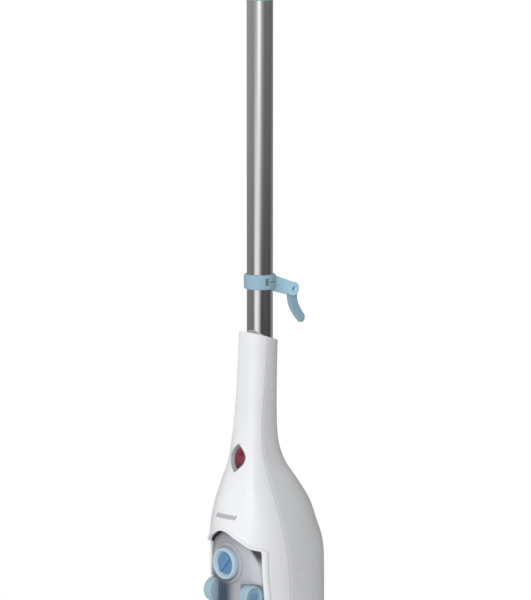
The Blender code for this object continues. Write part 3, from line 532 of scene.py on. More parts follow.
# dark grey of the tank bay, which the corner blocks also wear as painted shadow
BAY_AND_SHADOW = plastic("bay_and_painted_shadow_look", (0.085, 0.088, 0.095), 0.45, 1300)
# slate for the block in the tank's lower left: painted shade
SHADE_SLATE = plastic("painted_shade_slate_look", (0.10, 0.13, 0.18), 0.35, 1200, 0.02)
GREY = plastic("grey_plastic_look", (0.30, 0.32, 0.35), 0.45, 1700, 0.05)
MARK = plastic("mark_look", (0.24, 0.25, 0.28), 0.5, 1700, 0.02)
BEZEL = plastic("bezel_grey_look", (0.36, 0.37, 0.39), 0.25, 1200, 0.02)
BLACK = plastic("black_plastic_look", (0.022, 0.022, 0.026), 0.5, 1500, 0.05)
BOARD = plastic("circuit_board_look", (0.03, 0.16, 0.07), 0.4, 700, 0.08)
ALUMINIUM = brushed_metal("aluminium_look", (0.90, 0.90, 0.905), 0.075, depth=0.003)
STEEL = brushed_metal("steel_look", (0.62, 0.62, 0.60), 0.25, (1, 1, 1), 1500)
BRASS = brushed_metal("brass_look", (0.70, 0.52, 0.24), 0.28)
RUBBER = surface("rubber_look", (0.072, 0.08, 0.092), (0.1035, 0.115, 0.13225), 30.0, (150.0, 0.62, 0.8),
                 (1600, 0.5, 0.05))
RED = surface("lamp_red_look", (0.13, 0.010, 0.028), (0.26, 0.03, 0.06), 120.0, (200.0, 0.10, 0.16),
              (500, 0.1, 0.02), coat_weight=1.0)
FIBRE = surface("microfibre_look", (0.52, 0.62, 0.70), (0.80, 0.86, 0.90), 180.0, (90.0, 0.88, 1.0),
                (620, 0.9, 0.8, 0.0, "ShaderNodeTexVoronoi"), sheen_weight=0.5, sheen_roughness=0.4)
BLUE_CLOTH = cloth("binding_look", (0.20, 0.40, 0.55), 1500)
THREAD = cloth("thread_look", (0.75, 0.78, 0.80), 2500)
SMOKED_WITH_SHADE = smoked_plastic()


# ---------------------------------------------------------------- body casing

def crease_lift(x, z):
    """Height of the soft crease above the plain skin of the front shell."""
    foot = CREASE[0][0]
    if z < foot:
        return 0.0
    away = hypot(abs(x) - mix(CREASE, z)[0], 0.5)
    return CREASE_RISE * min(1.0, (z - foot) / CREASE_FADE) * exp(-away / CREASE_SPREAD)


def tilt_rim(point, z):
    slope = RIM_SLOPE * max(0.0, (z - RIM_FADE) / (RIM_TOP - RIM_FADE)) ** 2
    return Vector((point[0], point[1], z - slope * point[1]))


def skin_y(x, z, side, inset=0.0):
    """Y of the body's front (-1) or rear (1) skin at (x, z)."""
    half, front, rear, seam = mix(BODY_LEVELS, z)
    depth, power = (rear - seam, REAR_POWER) if side > 0 else (front + seam, FRONT_POWER)
    share = min(1.0, abs(x) / (half - inset))
    return seam + side * (depth - inset) * (1 - share ** power) ** (1 / power)


def front_point(x, z, lift=0.0):
    """Point above the front skin at (x, z), `lift` out along the section's normal."""
    step = 0.2
    slope = (skin_y(x + step, z, -1) - skin_y(x - step, z, -1)) / (2 * step)
    normal = Vector((slope, -1, 0)).normalized()
    return Vector((x, skin_y(x, z, -1) - crease_lift(x, z), z)) + normal * lift


def collar_arc(side, seam, radius, count):
    """Bore of the collar as one half wall sees it, from -X to +X, measured from the seam."""
    start = asin((seam + side * SEAM_GAP) / radius)
    low, high = (pi - start, start) if side > 0 else (pi - start, tau + start)
    return [(radius * cos(t), side * (radius * sin(t) - seam)) for t in spread(low, high, count + 1)]


def casing_ring(section, power, z, side, inset, radius, count, crease=False, collar=False):
    """Outline of one half wall at a height: outer arc, rounded seam edges, inner arc."""
    half, front, rear, seam = section(z)
    depth = rear if side > 0 else front
    half, depth = half - inset, depth - inset
    edge = asin(min(1.0, (radius / depth) ** (power / 2)))
    outer = [oval(half, depth, power, a) for a in spread(edge, pi - edge, count + 1)]
    if crease:
        outer = [(x, y + crease_lift(x, z)) for x, y in outer]
    tip = outer[-1][0]
    end = [(tip + radius - radius * cos(t), SEAM_GAP + (radius - SEAM_GAP) * (1 - sin(t)))
           for t in spread(pi / 8, pi / 2, 4)]
    start = [(-x, y) for x, y in reversed(end)]
    if collar:
        inner = collar_arc(side, seam, COLLAR_R + inset * 0.6, count // 2)
    else:
        inner = [oval(half - WALL, depth - WALL, power, a) for a in spread(pi, 0, count // 2 + 1)]
        inner = [(x, max(SEAM_GAP, y)) for x, y in inner]
    return [(x, seam + side * y) for x, y in start + outer + end + inner]


def body_halves(z):
    half, front, rear, seam = mix(BODY_LEVELS, z)
    return half, front + seam, rear - seam, seam


def edge_levels(low, high, count, radius):
    """Heights with extra ones near both ends, each with the inset that rounds the end's edge."""
    ends = [(radius * (1 - cos(t)), radius * (1 - sin(t))) for t in spread(0, pi / 2, 6)[:5]]
    middle = [(z, 0.0) for z in spread(low + radius, high - radius, count)]
    return ([(low + up, inset) for up, inset in ends] + middle
            + [(high - up, inset) for up, inset in reversed(ends)])


def casing(name, side, mat):
    rings = []
    power = REAR_POWER if side > 0 else FRONT_POWER
    for z, inset in edge_levels(BODY_FOOT, RIM_TOP, 190, 0.8):
        ring = casing_ring(body_halves, power, z, side, inset, 0.8, 88, side < 0, z > COLLAR_Z)
        rings.append([tilt_rim(p, z) for p in ring])
    return finish_mesh(name, loft(rings), mat)


def mirrored(half):
    """Whole outline from its right half, which runs down from the top."""
    return half + [(-x, z) for x, z in reversed(half) if x > 0.01]


def grown(outline, distance):
    """Outline moved along its own normals; points run clockwise from the top."""
    out = []
    count = len(outline)
    for i, (x, z) in enumerate(outline):
        ahead, back = outline[(i + 1) % count], outline[i - 1]
        along = Vector((ahead[0] - back[0], ahead[1] - back[1])).normalized()
        out.append((x - along.y * distance, z + along.x * distance))
    return out


def window_outline(grow=0.0):
    """Closed outline of the window in (x, z), grown outwards by `grow`."""
    arch = [(x, mix(ARCH, x)[0]) for x in spread(0, ARCH[-1][0], 41)]
    return grown(mirrored(arch + smooth_line([(x, z) for z, x in WINDOW_SIDES], 6)), grow)


def lamp_outline(size=1.0):
    """Leaf shape, pointed above and below."""
    half = [(LAMP_HALF_WIDTH * size * sin(a) ** 2, LAMP_Z + LAMP_HALF_HEIGHT * size * cos(a))
            for a in spread(0, pi, 33)]
    return half + [(-x, z) for x, z in reversed(half[1:-1])]


def lamp_rings(rows):
    """Leaf rings over the front skin from (size, lift) rows."""
    return [[front_point(x, z, lift) for x, z in lamp_outline(size)] for size, lift in rows]


def window_lip():
    """Rounded lip that frames the window."""
    section = [(-0.05, -2.3), (-0.05, 0.5)]
    for t in spread(0, 1, 11)[1:-1]:
        section.append((LIP_WIDTH * t - 0.05 * (1 - t), LIP_RISE * sin(pi * t) ** 0.55))
    section += [(LIP_WIDTH, 0.05), (LIP_WIDTH - 0.6, -0.7)]
    rings = [[front_point(x, z, lift) for x, z in window_outline(offset)] for offset, lift in section]
    place(finish_mesh("window_lip", loft(rings, wrap=True), WHITE), "body", "white_plastic")


def front_shell():
    obj = casing("front_casing", -1, WHITE)
    cut(obj, prism(window_outline(), -60, -21), prism(lamp_outline(), -60, -16))
    place(obj, "body", "white_plastic", "front_shell")


def boss(x, z, radius, start, side):
    """Screw boss along Y from `start` to the inside of the skin, whose shape its end follows."""
    circle = [(x + radius * cos(a), z + radius * sin(a)) for a in spread(0, tau, 49)[:48]]
    return loft([[Vector((u, start, v)) for u, v in circle],
                 [Vector((u, skin_y(u, v, side, WALL / 2), v)) for u, v in circle]])


def body_screw_places():
    return [(side * x, 0, z) for x, z in SCREW_SITES for side in (-1, 1)]


def rear_shell():
    # the rear shell wears the darker white, which is painted shade
    obj = casing("rear_casing", 1, SHADED_REAR_WHITE)
    for at in body_screw_places():
        join(obj, boss(at[0], at[2], 5, 2.5, 1))
        cut(obj, rod(3.6, 12, 90, "Y", at), rod(1.8, -10, 20, "Y", at))
    cut(obj, rod(6.3, 40, 90, "Y", GLAND_AT))
    place(obj, "body", "white_plastic", "rear_shell")


def screw(node, at, head, head_radius, length):
    """Pan-head cross screw along +Y, its head outwards."""
    thickness, shank = 2.0, 1.45
    profile = [(0.9, head - length), (shank, head - length + 2), (shank, head), (head_radius, head),
               (head_radius, head + thickness * 0.6), (head_radius * 0.6, head + thickness)]
    obj = finish_mesh(node + "_fine", lathe(profile, 0.4, "Y", at, 36), STEEL)
    arm, width, depth = head_radius * 0.62, 0.45, 1.0
    top = head + thickness
    x, z = at[0], at[2]
    for across, up in ((arm, width), (width, arm)):
        cut(obj, box((x - across, top - depth, z - up), (x + across, top + 1, z + up)))
    place(obj, "body", "steel", node)


def screws():
    for number, at in enumerate(body_screw_places(), 1):
        screw(f"body_screw_{number}", at, 12.3, 3.2, 26)
    for number, z in enumerate(HANDLE_SCREWS, 1):
        screw(f"handle_screw_{number}", (0, 0, z), handle_point(z, pi / 2).y - 2.2, 2.4, 5)


def lamp():
    """Red lens, sunk in a polished grey leaf-shaped funnel."""
    funnel = lamp_rings(((0.965, -LAMP_DEPTH), (0.965, -0.1), (0.95, 0.12), (0.925, 0.1), (0.895, -0.35),
                         (0.865, -1.2), (0.835, -2.1), (0.79, -2.9), (0.765, -LAMP_DEPTH)))
    place(finish_mesh("lamp_frame", loft(funnel, wrap=True), BEZEL), "body", "grey_plastic", "lamp_bezel")
    dome = lamp_rings([(0.75, -LAMP_DEPTH)] + [(0.75 * cos(t * 0.94), 1.3 * sin(t) - 2.7)
                                               for t in spread(0, pi / 2, 11)])
    place(finish_mesh("lamp_dome", loft(dome), RED), "body", "lamp_red", "lamp_lens")


def steam_mark():
    """Plain grey mark above the window: a row of short leaning strokes."""
    strokes = []
    for k in range(11):
        x = -9.9 + k * 2.35
        tall = 2.0 + 0.45 * cos(k * 2.4)
        points = [front_point(x + 0.5 * tall * t, 363.9 + tall * t, -0.35) for t in spread(-1, 1, 7)]
        strokes.append(tube_along(points, 0.7, MARK, resolution=3))
    place(merge("steam_mark", strokes), "body", "grey_plastic")


def half_round(section, power, back):
    """Solid over the window's height, with its front given as (half width, middle y, depth) by z."""
    rings = []
    for z in spread(WINDOW_LOW, WINDOW_HIGH, 50):
        half, middle, depth = section(z)
        arc = [oval(half, depth, power, a) for a in spread(pi, tau, 101)]
        rings.append([Vector((x, middle + y, z)) for x, y in arc]
                     + [Vector((half, back, z)), Vector((-half, back, z))])
    return loft(rings)


def painted_corner_shadow():
    """Dark blocks between the tank's shoulders and the window's upper corners: painted shadow of the gap
    there.
    """
    def inside(z):
        half, front, _, seam = mix(BODY_LEVELS, z)
        return half - 3.6, seam, front + seam - 3.6
    obj = finish_mesh("tank_painted_corner_shadow", prism(window_outline(-0.5), -60, -22), BAY_AND_SHADOW)
    boolean(obj, half_round(inside, FRONT_POWER, 2), "INTERSECT")
    cut(obj, prism(tank_outline(0.8), -70, -10), box((-24, -70, 100), (24, 0, 400)),
        box((-60, -70, 100), (60, 0, 314)))
    place(obj, "body", "black_plastic")


# ---------------------------------------------------------------- water tank

def tank_outline(grow=0.0):
    return grown(mirrored(smooth_line(TANK_HALF, 5)), grow)


def tank_solid(inset):
    """Solid inside the tank's own skin, which lies a little behind the shells'."""
    def inside(z):
        half, front = mix(TANK_LEVELS, z)
        return half - inset, TANK_SEAM, front - inset + TANK_SEAM
    return half_round(inside, TANK_POWER, 0)


def tank_body(name, grow, inset, split):
    """Plain body of the tank, up to its back, as one closed solid."""
    obj = finish_mesh(name, prism(tank_outline(grow), -60, split), SMOKED_WITH_SHADE)
    boolean(obj, tank_solid(inset), "INTERSECT")
    return obj


def pad_recess(obj, reach, radius):
    cut(obj, *side_rods(radius, reach, 60, "X", PAD_AT, 72))


def water_tank():
    obj = tank_body("tank_casing", 0.0, 0.0, TANK_SPLIT)
    join(obj, lathe([(18, -30), (20, -36), (20, -43.4), (17, -43.4)], 1.2, "Y", CAP_AT, 96))
    pad_recess(obj, 15.5, PAD_R + 1.0)
    hollow = tank_body("hollow", -1.9, 1.8, TANK_SPLIT + 5)
    pad_recess(hollow, 13.7, PAD_R + 2.8)
    cut(obj, hollow, rod(10.5, -60, -30, "Y", CAP_AT, 72), rod(16.1, -60, -41.6, "Y", CAP_AT, 72))
    soften(obj, 0.55, 5)
    place(obj, "tank", "smoked_plastic", "water_tank")


def tank_tray():
    """Light rear tray of the tank: a rim behind the clear front, and a back wall."""
    obj = finish_mesh("tank_tray", prism(tank_outline(-0.15), TANK_SPLIT + 0.3, -8.2), TRAY)
    cut(obj, prism(tank_outline(-2.2), -40, -11), rod(4.4, -20, 0, "Y", (0, 0, OUTLET_Z)))
    place(obj, "tank", "white_plastic")


def tank_painted_shade_block():
    """Slate block that fills the tank's lower left: a dark piece that stands for painted shade there."""
    obj = finish_mesh("tank_painted_shade_block", prism(rounded(rectangle(-31, 214, 3, 300), 6), -37.6, -12), SHADE_SLATE)
    boolean(obj, tank_solid(3.4), "INTERSECT")
    pad_recess(obj, 12.6, PAD_R + 3.8)
    soften(obj, 0.8, 6)
    place(obj, "tank", "smoked_plastic")


def filler_cap():
    """Dished cap with a pale rim, grip scallops round it and a bar across the dish; the dish and bar are a
    deeper blue, which is painted shade of the hollow.
    """
    def scallop(angle, radius, height):
        return 1 - 0.02 * (0.5 + 0.5 * cos(angle * 24)) * (radius > 14.6 and height > -46.6)
    profile = soft_profile([(8.9, -36), (8.9, -41.9), (15.5, -41.9), (15.5, -46.2), (14.2, -48),
                            (12.4, -47.8), (10.9, -44.7), (4, -44.4), (0.5, -44.4)], 0.9)
    obj = finish_mesh("filler_cap_fine", loft(turned(profile, "Y", CAP_AT, 144, scallop)), CAP_BLUE)
    place(obj, "cap", "blue_plastic", "filler_cap")
    dish = lathe([(10.7, -44.0), (10.7, -45.2), (9.0, -45.0), (1, -44.8)], 0.5, "Y", CAP_AT, 72)
    outline = rounded(rectangle(-2.1, -9.9, 2.1, 9.9), 1.6, 6)
    bar = loft([[Vector((u * s, d, v * s)) for u, v in outline]
                for s, d in ((1, -44.0), (1, -46.6), (0.92, -47.2), (0.7, -47.5))])
    bar.transform(Matrix.Translation(CAP_AT) @ Matrix.Rotation(radians(40), 4, "Y"))
    pieces = [finish_mesh(name, bm, CAP_DISH_SHADE_BLUE) for name, bm in (("dish", dish), ("bar", bar))]
    place(merge("cap_dish_and_bar", pieces), "cap", "blue_plastic")


def pad_part(name, profile, soft, side, sides, mat):
    """Turned part of one pad, its profile given outwards from the middle."""
    points = [(r, side * h) for r, h in soft_profile(profile, soft)]
    return finish_mesh(name, loft(turned(points, "X", PAD_AT, sides)), mat)


def tank_pads():
    """Round pinch pads with a raised rim, a dished face and three finger ribs; the dish and ribs are a
    deeper blue, which is painted shade of the hollow face.
    """
    _, middle, height = PAD_AT
    outside = [(5, 19), (PAD_R, 20), (PAD_R, PAD_X - 1.5), (PAD_R - 1.2, PAD_X), (PAD_R - 3.0, PAD_X - 0.5),
               (PAD_R - 4.4, PAD_X - 2.0), (0.5, PAD_X - 2.4)]
    inside = [(7.3, PAD_X - 3.0), (7.3, PAD_X - 2.1), (0.5, PAD_X - 2.2)]
    for side, label in ((-1, "left"), (1, "right")):
        obj = pad_part(f"tank_release_{label}_fine", outside, 0.9, side, 96, PALE_BLUE)
        place(obj, "release_" + label, "blue_plastic", f"tank_release_{label}")
        face = side * (PAD_X - 2.3)
        details = []
        for k in (-1, 0, 1):
            reach = 5.2 if k == 0 else 4.2
            z = height + k * 3.4
            ends = [Vector((face, middle - reach, z)), Vector((face, middle + reach, z))]
            details.append(tube_along(ends, 0.8, PAD_DISH_SHADE_BLUE))
        details.append(pad_part("dish", inside, 0.3, side, 72, PAD_DISH_SHADE_BLUE))
        place(merge(f"pad_ribs_{label}", details), "release_" + label, "blue_plastic")


# ---------------------------------------------------------------- pole and hooks

def pole():
    inner = POLE_R - POLE_WALL
    profile = [(POLE_R, POLE_LOW), (POLE_R, POLE_HIGH), (inner, POLE_HIGH), (inner, POLE_LOW)]
    obj = finish_mesh("pole_fine", loft(turned(profile, sides=128), wrap=True), ALUMINIUM)
    place(obj, "body", "aluminium", "pole_tube")


def swept(path, width, roundness=0.55, steps=28):
    """Rounded bar along (y, z, height) points, smoothed between them and narrower at its ends."""
    fine = smooth_line(path, 6)
    last = len(fine) - 1
    rings = []
    for i, (y, z, height) in enumerate(fine):
        ahead, back = fine[min(i + 1, last)], fine[max(i - 1, 0)]
        along = Vector((0, ahead[0] - back[0], ahead[1] - back[1])).normalized()
        up = Vector((1, 0, 0)).cross(along)
        end = min(1.0, 0.55 + 0.45 * min(i, last - i) / 2)
        rings.append([Vector((0, y, z)) + up * (end * height / 2 * signed_power(sin(a), roundness))
                      + Vector((end * width / 2 * signed_power(cos(a), roundness), 0, 0))
                      for a in [tau * (k + 0.5) / steps for k in range(steps)]])
    return loft(rings)


def hook_ring(z, name):
    """Clamp ring with rounded edges."""
    profile = [(12.8, z - 7), (14.6, z - 7), (15.2, z - 5.6), (15.2, z + 5.6), (14.6, z + 7), (12.8, z + 7)]
    return finish_mesh(name, lathe(profile, 0.7, sides=96, wrap=True), BLUE)


def lower_hook():
    """Clamp with a screw slot, and an arm whose forked end holds the finger on its pin."""
    y, z = HOOK_PIVOT.y, HOOK_PIVOT.z
    obj = hook_ring(HOOK_Z, "lower_hook_fine")
    eye = [(1.6, -4.7), (5.9, -4.7), (6.8, -3.7), (6.8, 3.7), (5.9, 4.7), (1.6, 4.7)]
    join(obj, swept([(13.9, 582.1, 14.6), (18, 581.2, 14.6), (27, 578.3, 14.2), (36, 575.5, 13.4),
                     (40.2, 574.3, 13.0)], 9, 0.45),
         lathe(eye, 0.5, "X", HOOK_PIVOT))
    cut(obj, box((-2.5, y - 8.2, z - 20), (2.5, y + 20, z + 20)),
        rod(1.5, -10, 10, "X", HOOK_PIVOT, 32),
        *side_rods(2.7, 3.4, 10, "X", HOOK_PIVOT, 32),
        box((-20, -5.3, HOOK_Z - 3), (20, -1.3, HOOK_Z + 3.5)),
        box((-20, -1.4, HOOK_Z + 0.1), (20, 11, HOOK_Z + 0.5)))
    # faces of the arm, beyond 15.1 mm, get the lighter blue: painted light on the same blue plastic
    paint(obj, BLUE, LIT_ARM_BLUE)
    for face in obj.data.polygons:
        face.material_index = 1 if face.center.y > 15.1 * MM else 0
    place(obj, "body", "blue_plastic", "lower_hook_clamp")
    finger = finish_mesh("hook_finger_fine", swept(
        [(y + 0.3, z - 1, 11.2), (42, 567, 11.2), (42.9, 560.8, 10.7), (46.4, 554, 10.2), (51.2, 547.6, 9.4),
         (56.6, 541.8, 8.4)], 4.2, 0.45), BLUE)
    join(finger, rod(5.6, -2.1, 2.1, "X", HOOK_PIVOT))
    cut(finger, rod(1.5, -10, 10, "X", HOOK_PIVOT, 32))
    place(finger, "hook_finger", "blue_plastic", "lower_hook_finger")


def upper_hook():
    obj = hook_ring(UPPER_HOOK_Z, "upper_hook_fine")
    path = [(13.9, 1, 13), (26, 2, 11.2), (35, 3.6, 10.8), (41.5, 8.5, 11.2), (44.2, 17, 11), (47, 25, 10.3),
            (51.8, 32, 9.2), (56, 36, 7)]
    join(obj, swept([(y, UPPER_HOOK_Z + up, height) for y, up, height in path], 9))
    place(obj, "swivel_hook", "blue_plastic", "upper_hook")


# ---------------------------------------------------------------- handle

def handle_section(z):
    return mix(HANDLE_LEVELS, z)


def handle_point(z, angle, inset=0.0):
    half, front, rear, spine = handle_section(z)
    depth = rear if sin(angle) >= 0 else front
    x, y = oval(half - inset, depth - inset, HANDLE_POWER, angle)
    return Vector((x, spine + y, z))


def handle_half(name, side):
    rings = []
    for z, inset in edge_levels(HANDLE_LOW, HANDLE_HIGH, 110, 0.8):
        ring = casing_ring(handle_section, HANDLE_POWER, z, side, inset, 0.7, 56)
        rings.append([Vector((x, y, z)) for x, y in ring])
    return finish_mesh(name, loft(rings), WHITE)


def handle():
    front = handle_half("handle_front_fine", -1)
    cut(front, prism(rounded(rectangle(-6.4, 1024, 6.4, 1078), 3, 8), -60, 0))
    place(front, "body", "white_plastic", "handle_front")
    rear = handle_half("handle_rear_fine", 1)
    for z in HANDLE_SCREWS:
        spine = handle_section(z)[3]
        cut(rear, rod(2.8, spine + 5, spine + 40, "Y", (0, 0, z), 40))
    place(rear, "body", "white_plastic", "handle_rear")


def handle_cap():
    spine = HANDLE_LEVELS[-1][4]
    rings = []
    for t in spread(0, 1, 17):
        shrink = cos(t * pi / 2 * 0.97)
        z = HANDLE_HIGH + 0.3 + 16.95 * sin(t * pi / 2)
        ring = [handle_point(HANDLE_HIGH, tau * k / 96) for k in range(96)]
        rings.append([Vector((p.x * shrink, (p.y - spine) * shrink + spine + 3 * t, z)) for p in ring])
    place(finish_mesh("handle_cap_fine", loft(rings), BLUE), "body", "blue_plastic", "handle_cap")


def grip():
    """Soft rear panel with rounded ends and rows of raised ribs."""
    low, high, pitch = 1000, 1146, 5.2
    rings = []
    for z in spread(low, high, 150):
        edge = min(1.0, min(z - low, high - z) / 9)
        reach = 0.3 * pi * sqrt(max(0.02, 1 - (1 - edge) ** 2))
        rib = 0.35 * (0.5 + 0.5 * cos(tau * (z - low) / pitch)) ** 2
        angles = spread(pi / 2 - reach, pi / 2 + reach, 41)
        outer = []
        for j, a in enumerate(angles):
            side = min(1.0, min(j, 40 - j) / 5)
            lift = 0.4 + 0.75 * sqrt(1 - (1 - side) ** 2) * min(1.0, edge * 3)
            outer.append(handle_point(z, a, -lift - rib * side * edge))
        rings.append(outer + [handle_point(z, a, -0.3) for a in reversed(angles)])
    place(finish_mesh("grip_fine", loft(rings), RUBBER, 60), "body", "rubber", "grip_panel")


def trigger():
    y, z = TRIGGER_PIVOT.y, TRIGGER_PIVOT.z
    corners = ((11, -3), (11, 2), (4, 6), (2, 14), (4, 30), (7, 44), (3, 45.5), (-3, 38), (-8, 24), (-9, 12),
               (-5, 2), (-4, -3), (0, -4.5))
    outline = rounded([(y + u, z + v) for u, v in corners], 5, 6)
    centre = sum((Vector(p) for p in outline), Vector((0, 0))) / len(outline)
    rings = []
    for x, size in ((-5.8, 0.93), (-5.5, 0.975), (-4.8, 1.0), (4.8, 1.0), (5.5, 0.975), (5.8, 0.93)):
        rings.append([Vector((x, *(centre + (Vector(p) - centre) * size))) for p in outline])
    obj = finish_mesh("trigger_fine", loft(rings), BLUE)
    cut(obj, rod(1.65, -20, 20, "X", TRIGGER_PIVOT, 32))
    place(obj, "trigger", "blue_plastic", "trigger")


# ---------------------------------------------------------------- neck

def pin(name, node, body, axis, at, half_length, radius):
    """Plain steel pin with rounded ends."""
    profile = [(0.4 * radius, -half_length), (radius, 0.6 - half_length), (radius, half_length - 0.6),
               (0.4 * radius, half_length)]
    place(finish_mesh(name, lathe(profile, 0.5, axis, at, 48), STEEL), body, "steel", node)


def pins():
    pin("pitch_pin_fine", "pitch_pin", "mop_head", "X", PITCH_AT, 22, PIVOT_R)
    pin("roll_pin_fine", "roll_pin", "neck", "Y", ROLL_AT, 14, PIVOT_R)
    pin("hook_pin_fine", "lower_hook_pin", "body", "X", HOOK_PIVOT, 3.2, 1.35)
    pin("trigger_pin_fine", "trigger_pin", "body", "X", TRIGGER_PIVOT, 8.5, 1.5)


def pivot_hole(axis, at):
    return rod(PIVOT_BORE, -40, 40, axis, at)


def yoke():
    obj = finish_mesh("yoke_fine", rod(8, -14.4, 14.4, "X", PITCH_AT, 64), WHITE)
    join(obj, rod(7.2, PITCH_Z, ROLL_Z, sides=64), rod(8, -7.5, 7.5, "Y", ROLL_AT, 64))
    cut(obj, pivot_hole("X", PITCH_AT), pivot_hole("Y", ROLL_AT))
    place(obj, "yoke", "white_plastic", "swivel_yoke")


def socket():
    """Cup that takes the spigot, with two ears on the roll pin."""
    profile = [(5, 86), (12, 86), (18.3, 90), (18.5, 126), (20, 130), (20, 133), (14.3, 133), (14.3, 94),
               (5, 94)]
    obj = finish_mesh("socket_fine", lathe(profile, 1.6, sides=96, wrap=True), WHITE)
    web = rounded(rectangle(-9, ROLL_Z, 9, 91), 1, 3)
    for side, ear in zip((-1, 1), side_rods(9, 8, 13, "Y", ROLL_AT, 64)):
        join(obj, ear, prism(web, *sorted((side * 8, side * 13))))
    cut(obj, pivot_hole("Y", ROLL_AT), rod(6, -40, -10, "Y", BUTTON_AT, 64))
    place(obj, "neck", "white_plastic", "neck_socket")


def neck_button():
    profile = [(1, -16.9), (5.6, -16.9), (5.6, -21.6), (4.6, -22.6), (3.4, -22.1), (0.4, -21.9)]
    obj = finish_mesh("neck_button_fine", lathe(profile, 0.6, "Y", BUTTON_AT), BLUE)
    place(obj, "neck_button", "blue_plastic", "neck_button")


def spigot():
    profile = [(14, 97), (14, 139), (19.5, 139), (19.5, 144), (9, 144), (9, 97)]
    obj = finish_mesh("spigot_fine", lathe(profile, 0.7, sides=80, wrap=True), GREY)
    place(obj, "body", "grey_plastic", "spigot")


def gland():
    profile = [(6, 47), (6, 60), (5.2, 61), (3.8, 61), (3.8, 44), (8.5, 44), (8.5, 47)]
    obj = finish_mesh("gland_fine", lathe(profile, 0.5, "Y", GLAND_AT, wrap=True), RUBBER)
    place(obj, "body", "grey_plastic", "cord_gland")


# ---------------------------------------------------------------- mop head

def head_outline(inset, z, count=240):
    """Ring round the head, narrower towards the back."""
    ring = []
    for i in range(count):
        x, y = oval(HEAD_WIDTH / 2 - inset, HEAD_DEPTH / 2 - inset, HEAD_POWER, tau * i / count)
        taper = 1 - 0.16 * (y / HEAD_DEPTH + 0.5) ** 1.5
        ring.append(Vector((x * taper, y, z)))
    return ring


def dome_ring(inset, wall=0.0):
    """Ring on the cover's dome, or `wall` inside it."""
    ring = head_outline(inset + wall, 0)
    for p in ring:
        u = min(1.0, (abs(p.x) / (HEAD_WIDTH / 2)) ** 2.2)
        v = min(1.0, (abs(p.y) / (HEAD_DEPTH / 2)) ** 2.2)
        p.z = COVER_EDGE + COVER_DOME * (1 - u) * (1 - v) - wall
    return ring


def head_cover():
    """Domed cover with a rounded shoulder, hollow below, and a well for the neck."""
    radius = 3.0
    inner = [dome_ring(inset, COVER_WALL) for inset in (80, 58, 34, 14, 3.2)]
    rim = [head_outline(COVER_WALL, 17.3), head_outline(0.4, 17.3), head_outline(0, 17.8)]
    shoulder = [head_outline(radius * (1 - cos(t)), COVER_EDGE - radius * (1 - sin(t)))
                for t in spread(0, pi / 2, 7)]
    dome = [dome_ring(inset) for inset in (3.2, 4, 6, 9, 13, 18, 24, 31, 38, 46, 54, 62, 70, 78, 84)]
    obj = finish_mesh("head_cover_fine", loft(inner + rim + shoulder + dome), WHITE)
    block = [(-26.4, 26.6), (76, 26.6), (76, 28.6), (60, 32.3), (45, 35.3), (20, 38.0), (-26.4, 38.0)]
    join(obj, prism(block, -27.4, 27.4, "X"))
    well = rounded(rectangle(-25, -24, 25, 100), 6, 8)
    cut(obj, loft([[Vector((x, y, z)) for x, y in well] for z in (29, 60)]))
    place(obj, "mop_head", "white_plastic", "head_cover")


def head_loft(rows):
    """Shape round the head from (inset, z) rows, closed into a ring."""
    return loft([head_outline(inset, z) for inset, z in rows], wrap=True)


def bumper():
    rows = soft_profile([(3.6, 13.5), (0.5, 13.5), (0, 15.0), (0.5, 16.6), (3.6, 16.6)], 0.7)
    place(finish_mesh("bumper_fine", head_loft(rows), BLUE), "mop_head", "blue_plastic", "edge_bumper")


def sole():
    rows = ((80, 11.8), (5.6, 11.8), (5, 12.3), (4, 16.2), (4.4, 16.7), (80, 16.7))
    obj = finish_mesh("sole_fine", loft([head_outline(inset, z) for inset, z in rows]), GREY)
    for x in (-30, 0, 30):
        for y in (-58, 12):
            cut(obj, rod(2.5, 0, 40, "Z", (x, y, 0), 24))
    place(obj, "mop_head", "grey_plastic", "sole_plate")


def bracket():
    """Base plate with two ears on the pitch pin."""
    base = 29.3
    obj = finish_mesh("bracket_fine", box((-22, -14, base), (22, 14, base + 3)), GREY)
    web = [(-9, PITCH_Z), (-12, base + 1), (12, base + 1), (9, PITCH_Z)]
    for side, ear in zip((-1, 1), side_rods(9, 15, 21, "X", PITCH_AT, 64)):
        join(obj, ear, prism(web, *sorted((side * 15, side * 21)), "X"))
    cut(obj, pivot_hole("X", PITCH_AT))
    place(obj, "mop_head", "grey_plastic", "pivot_bracket")


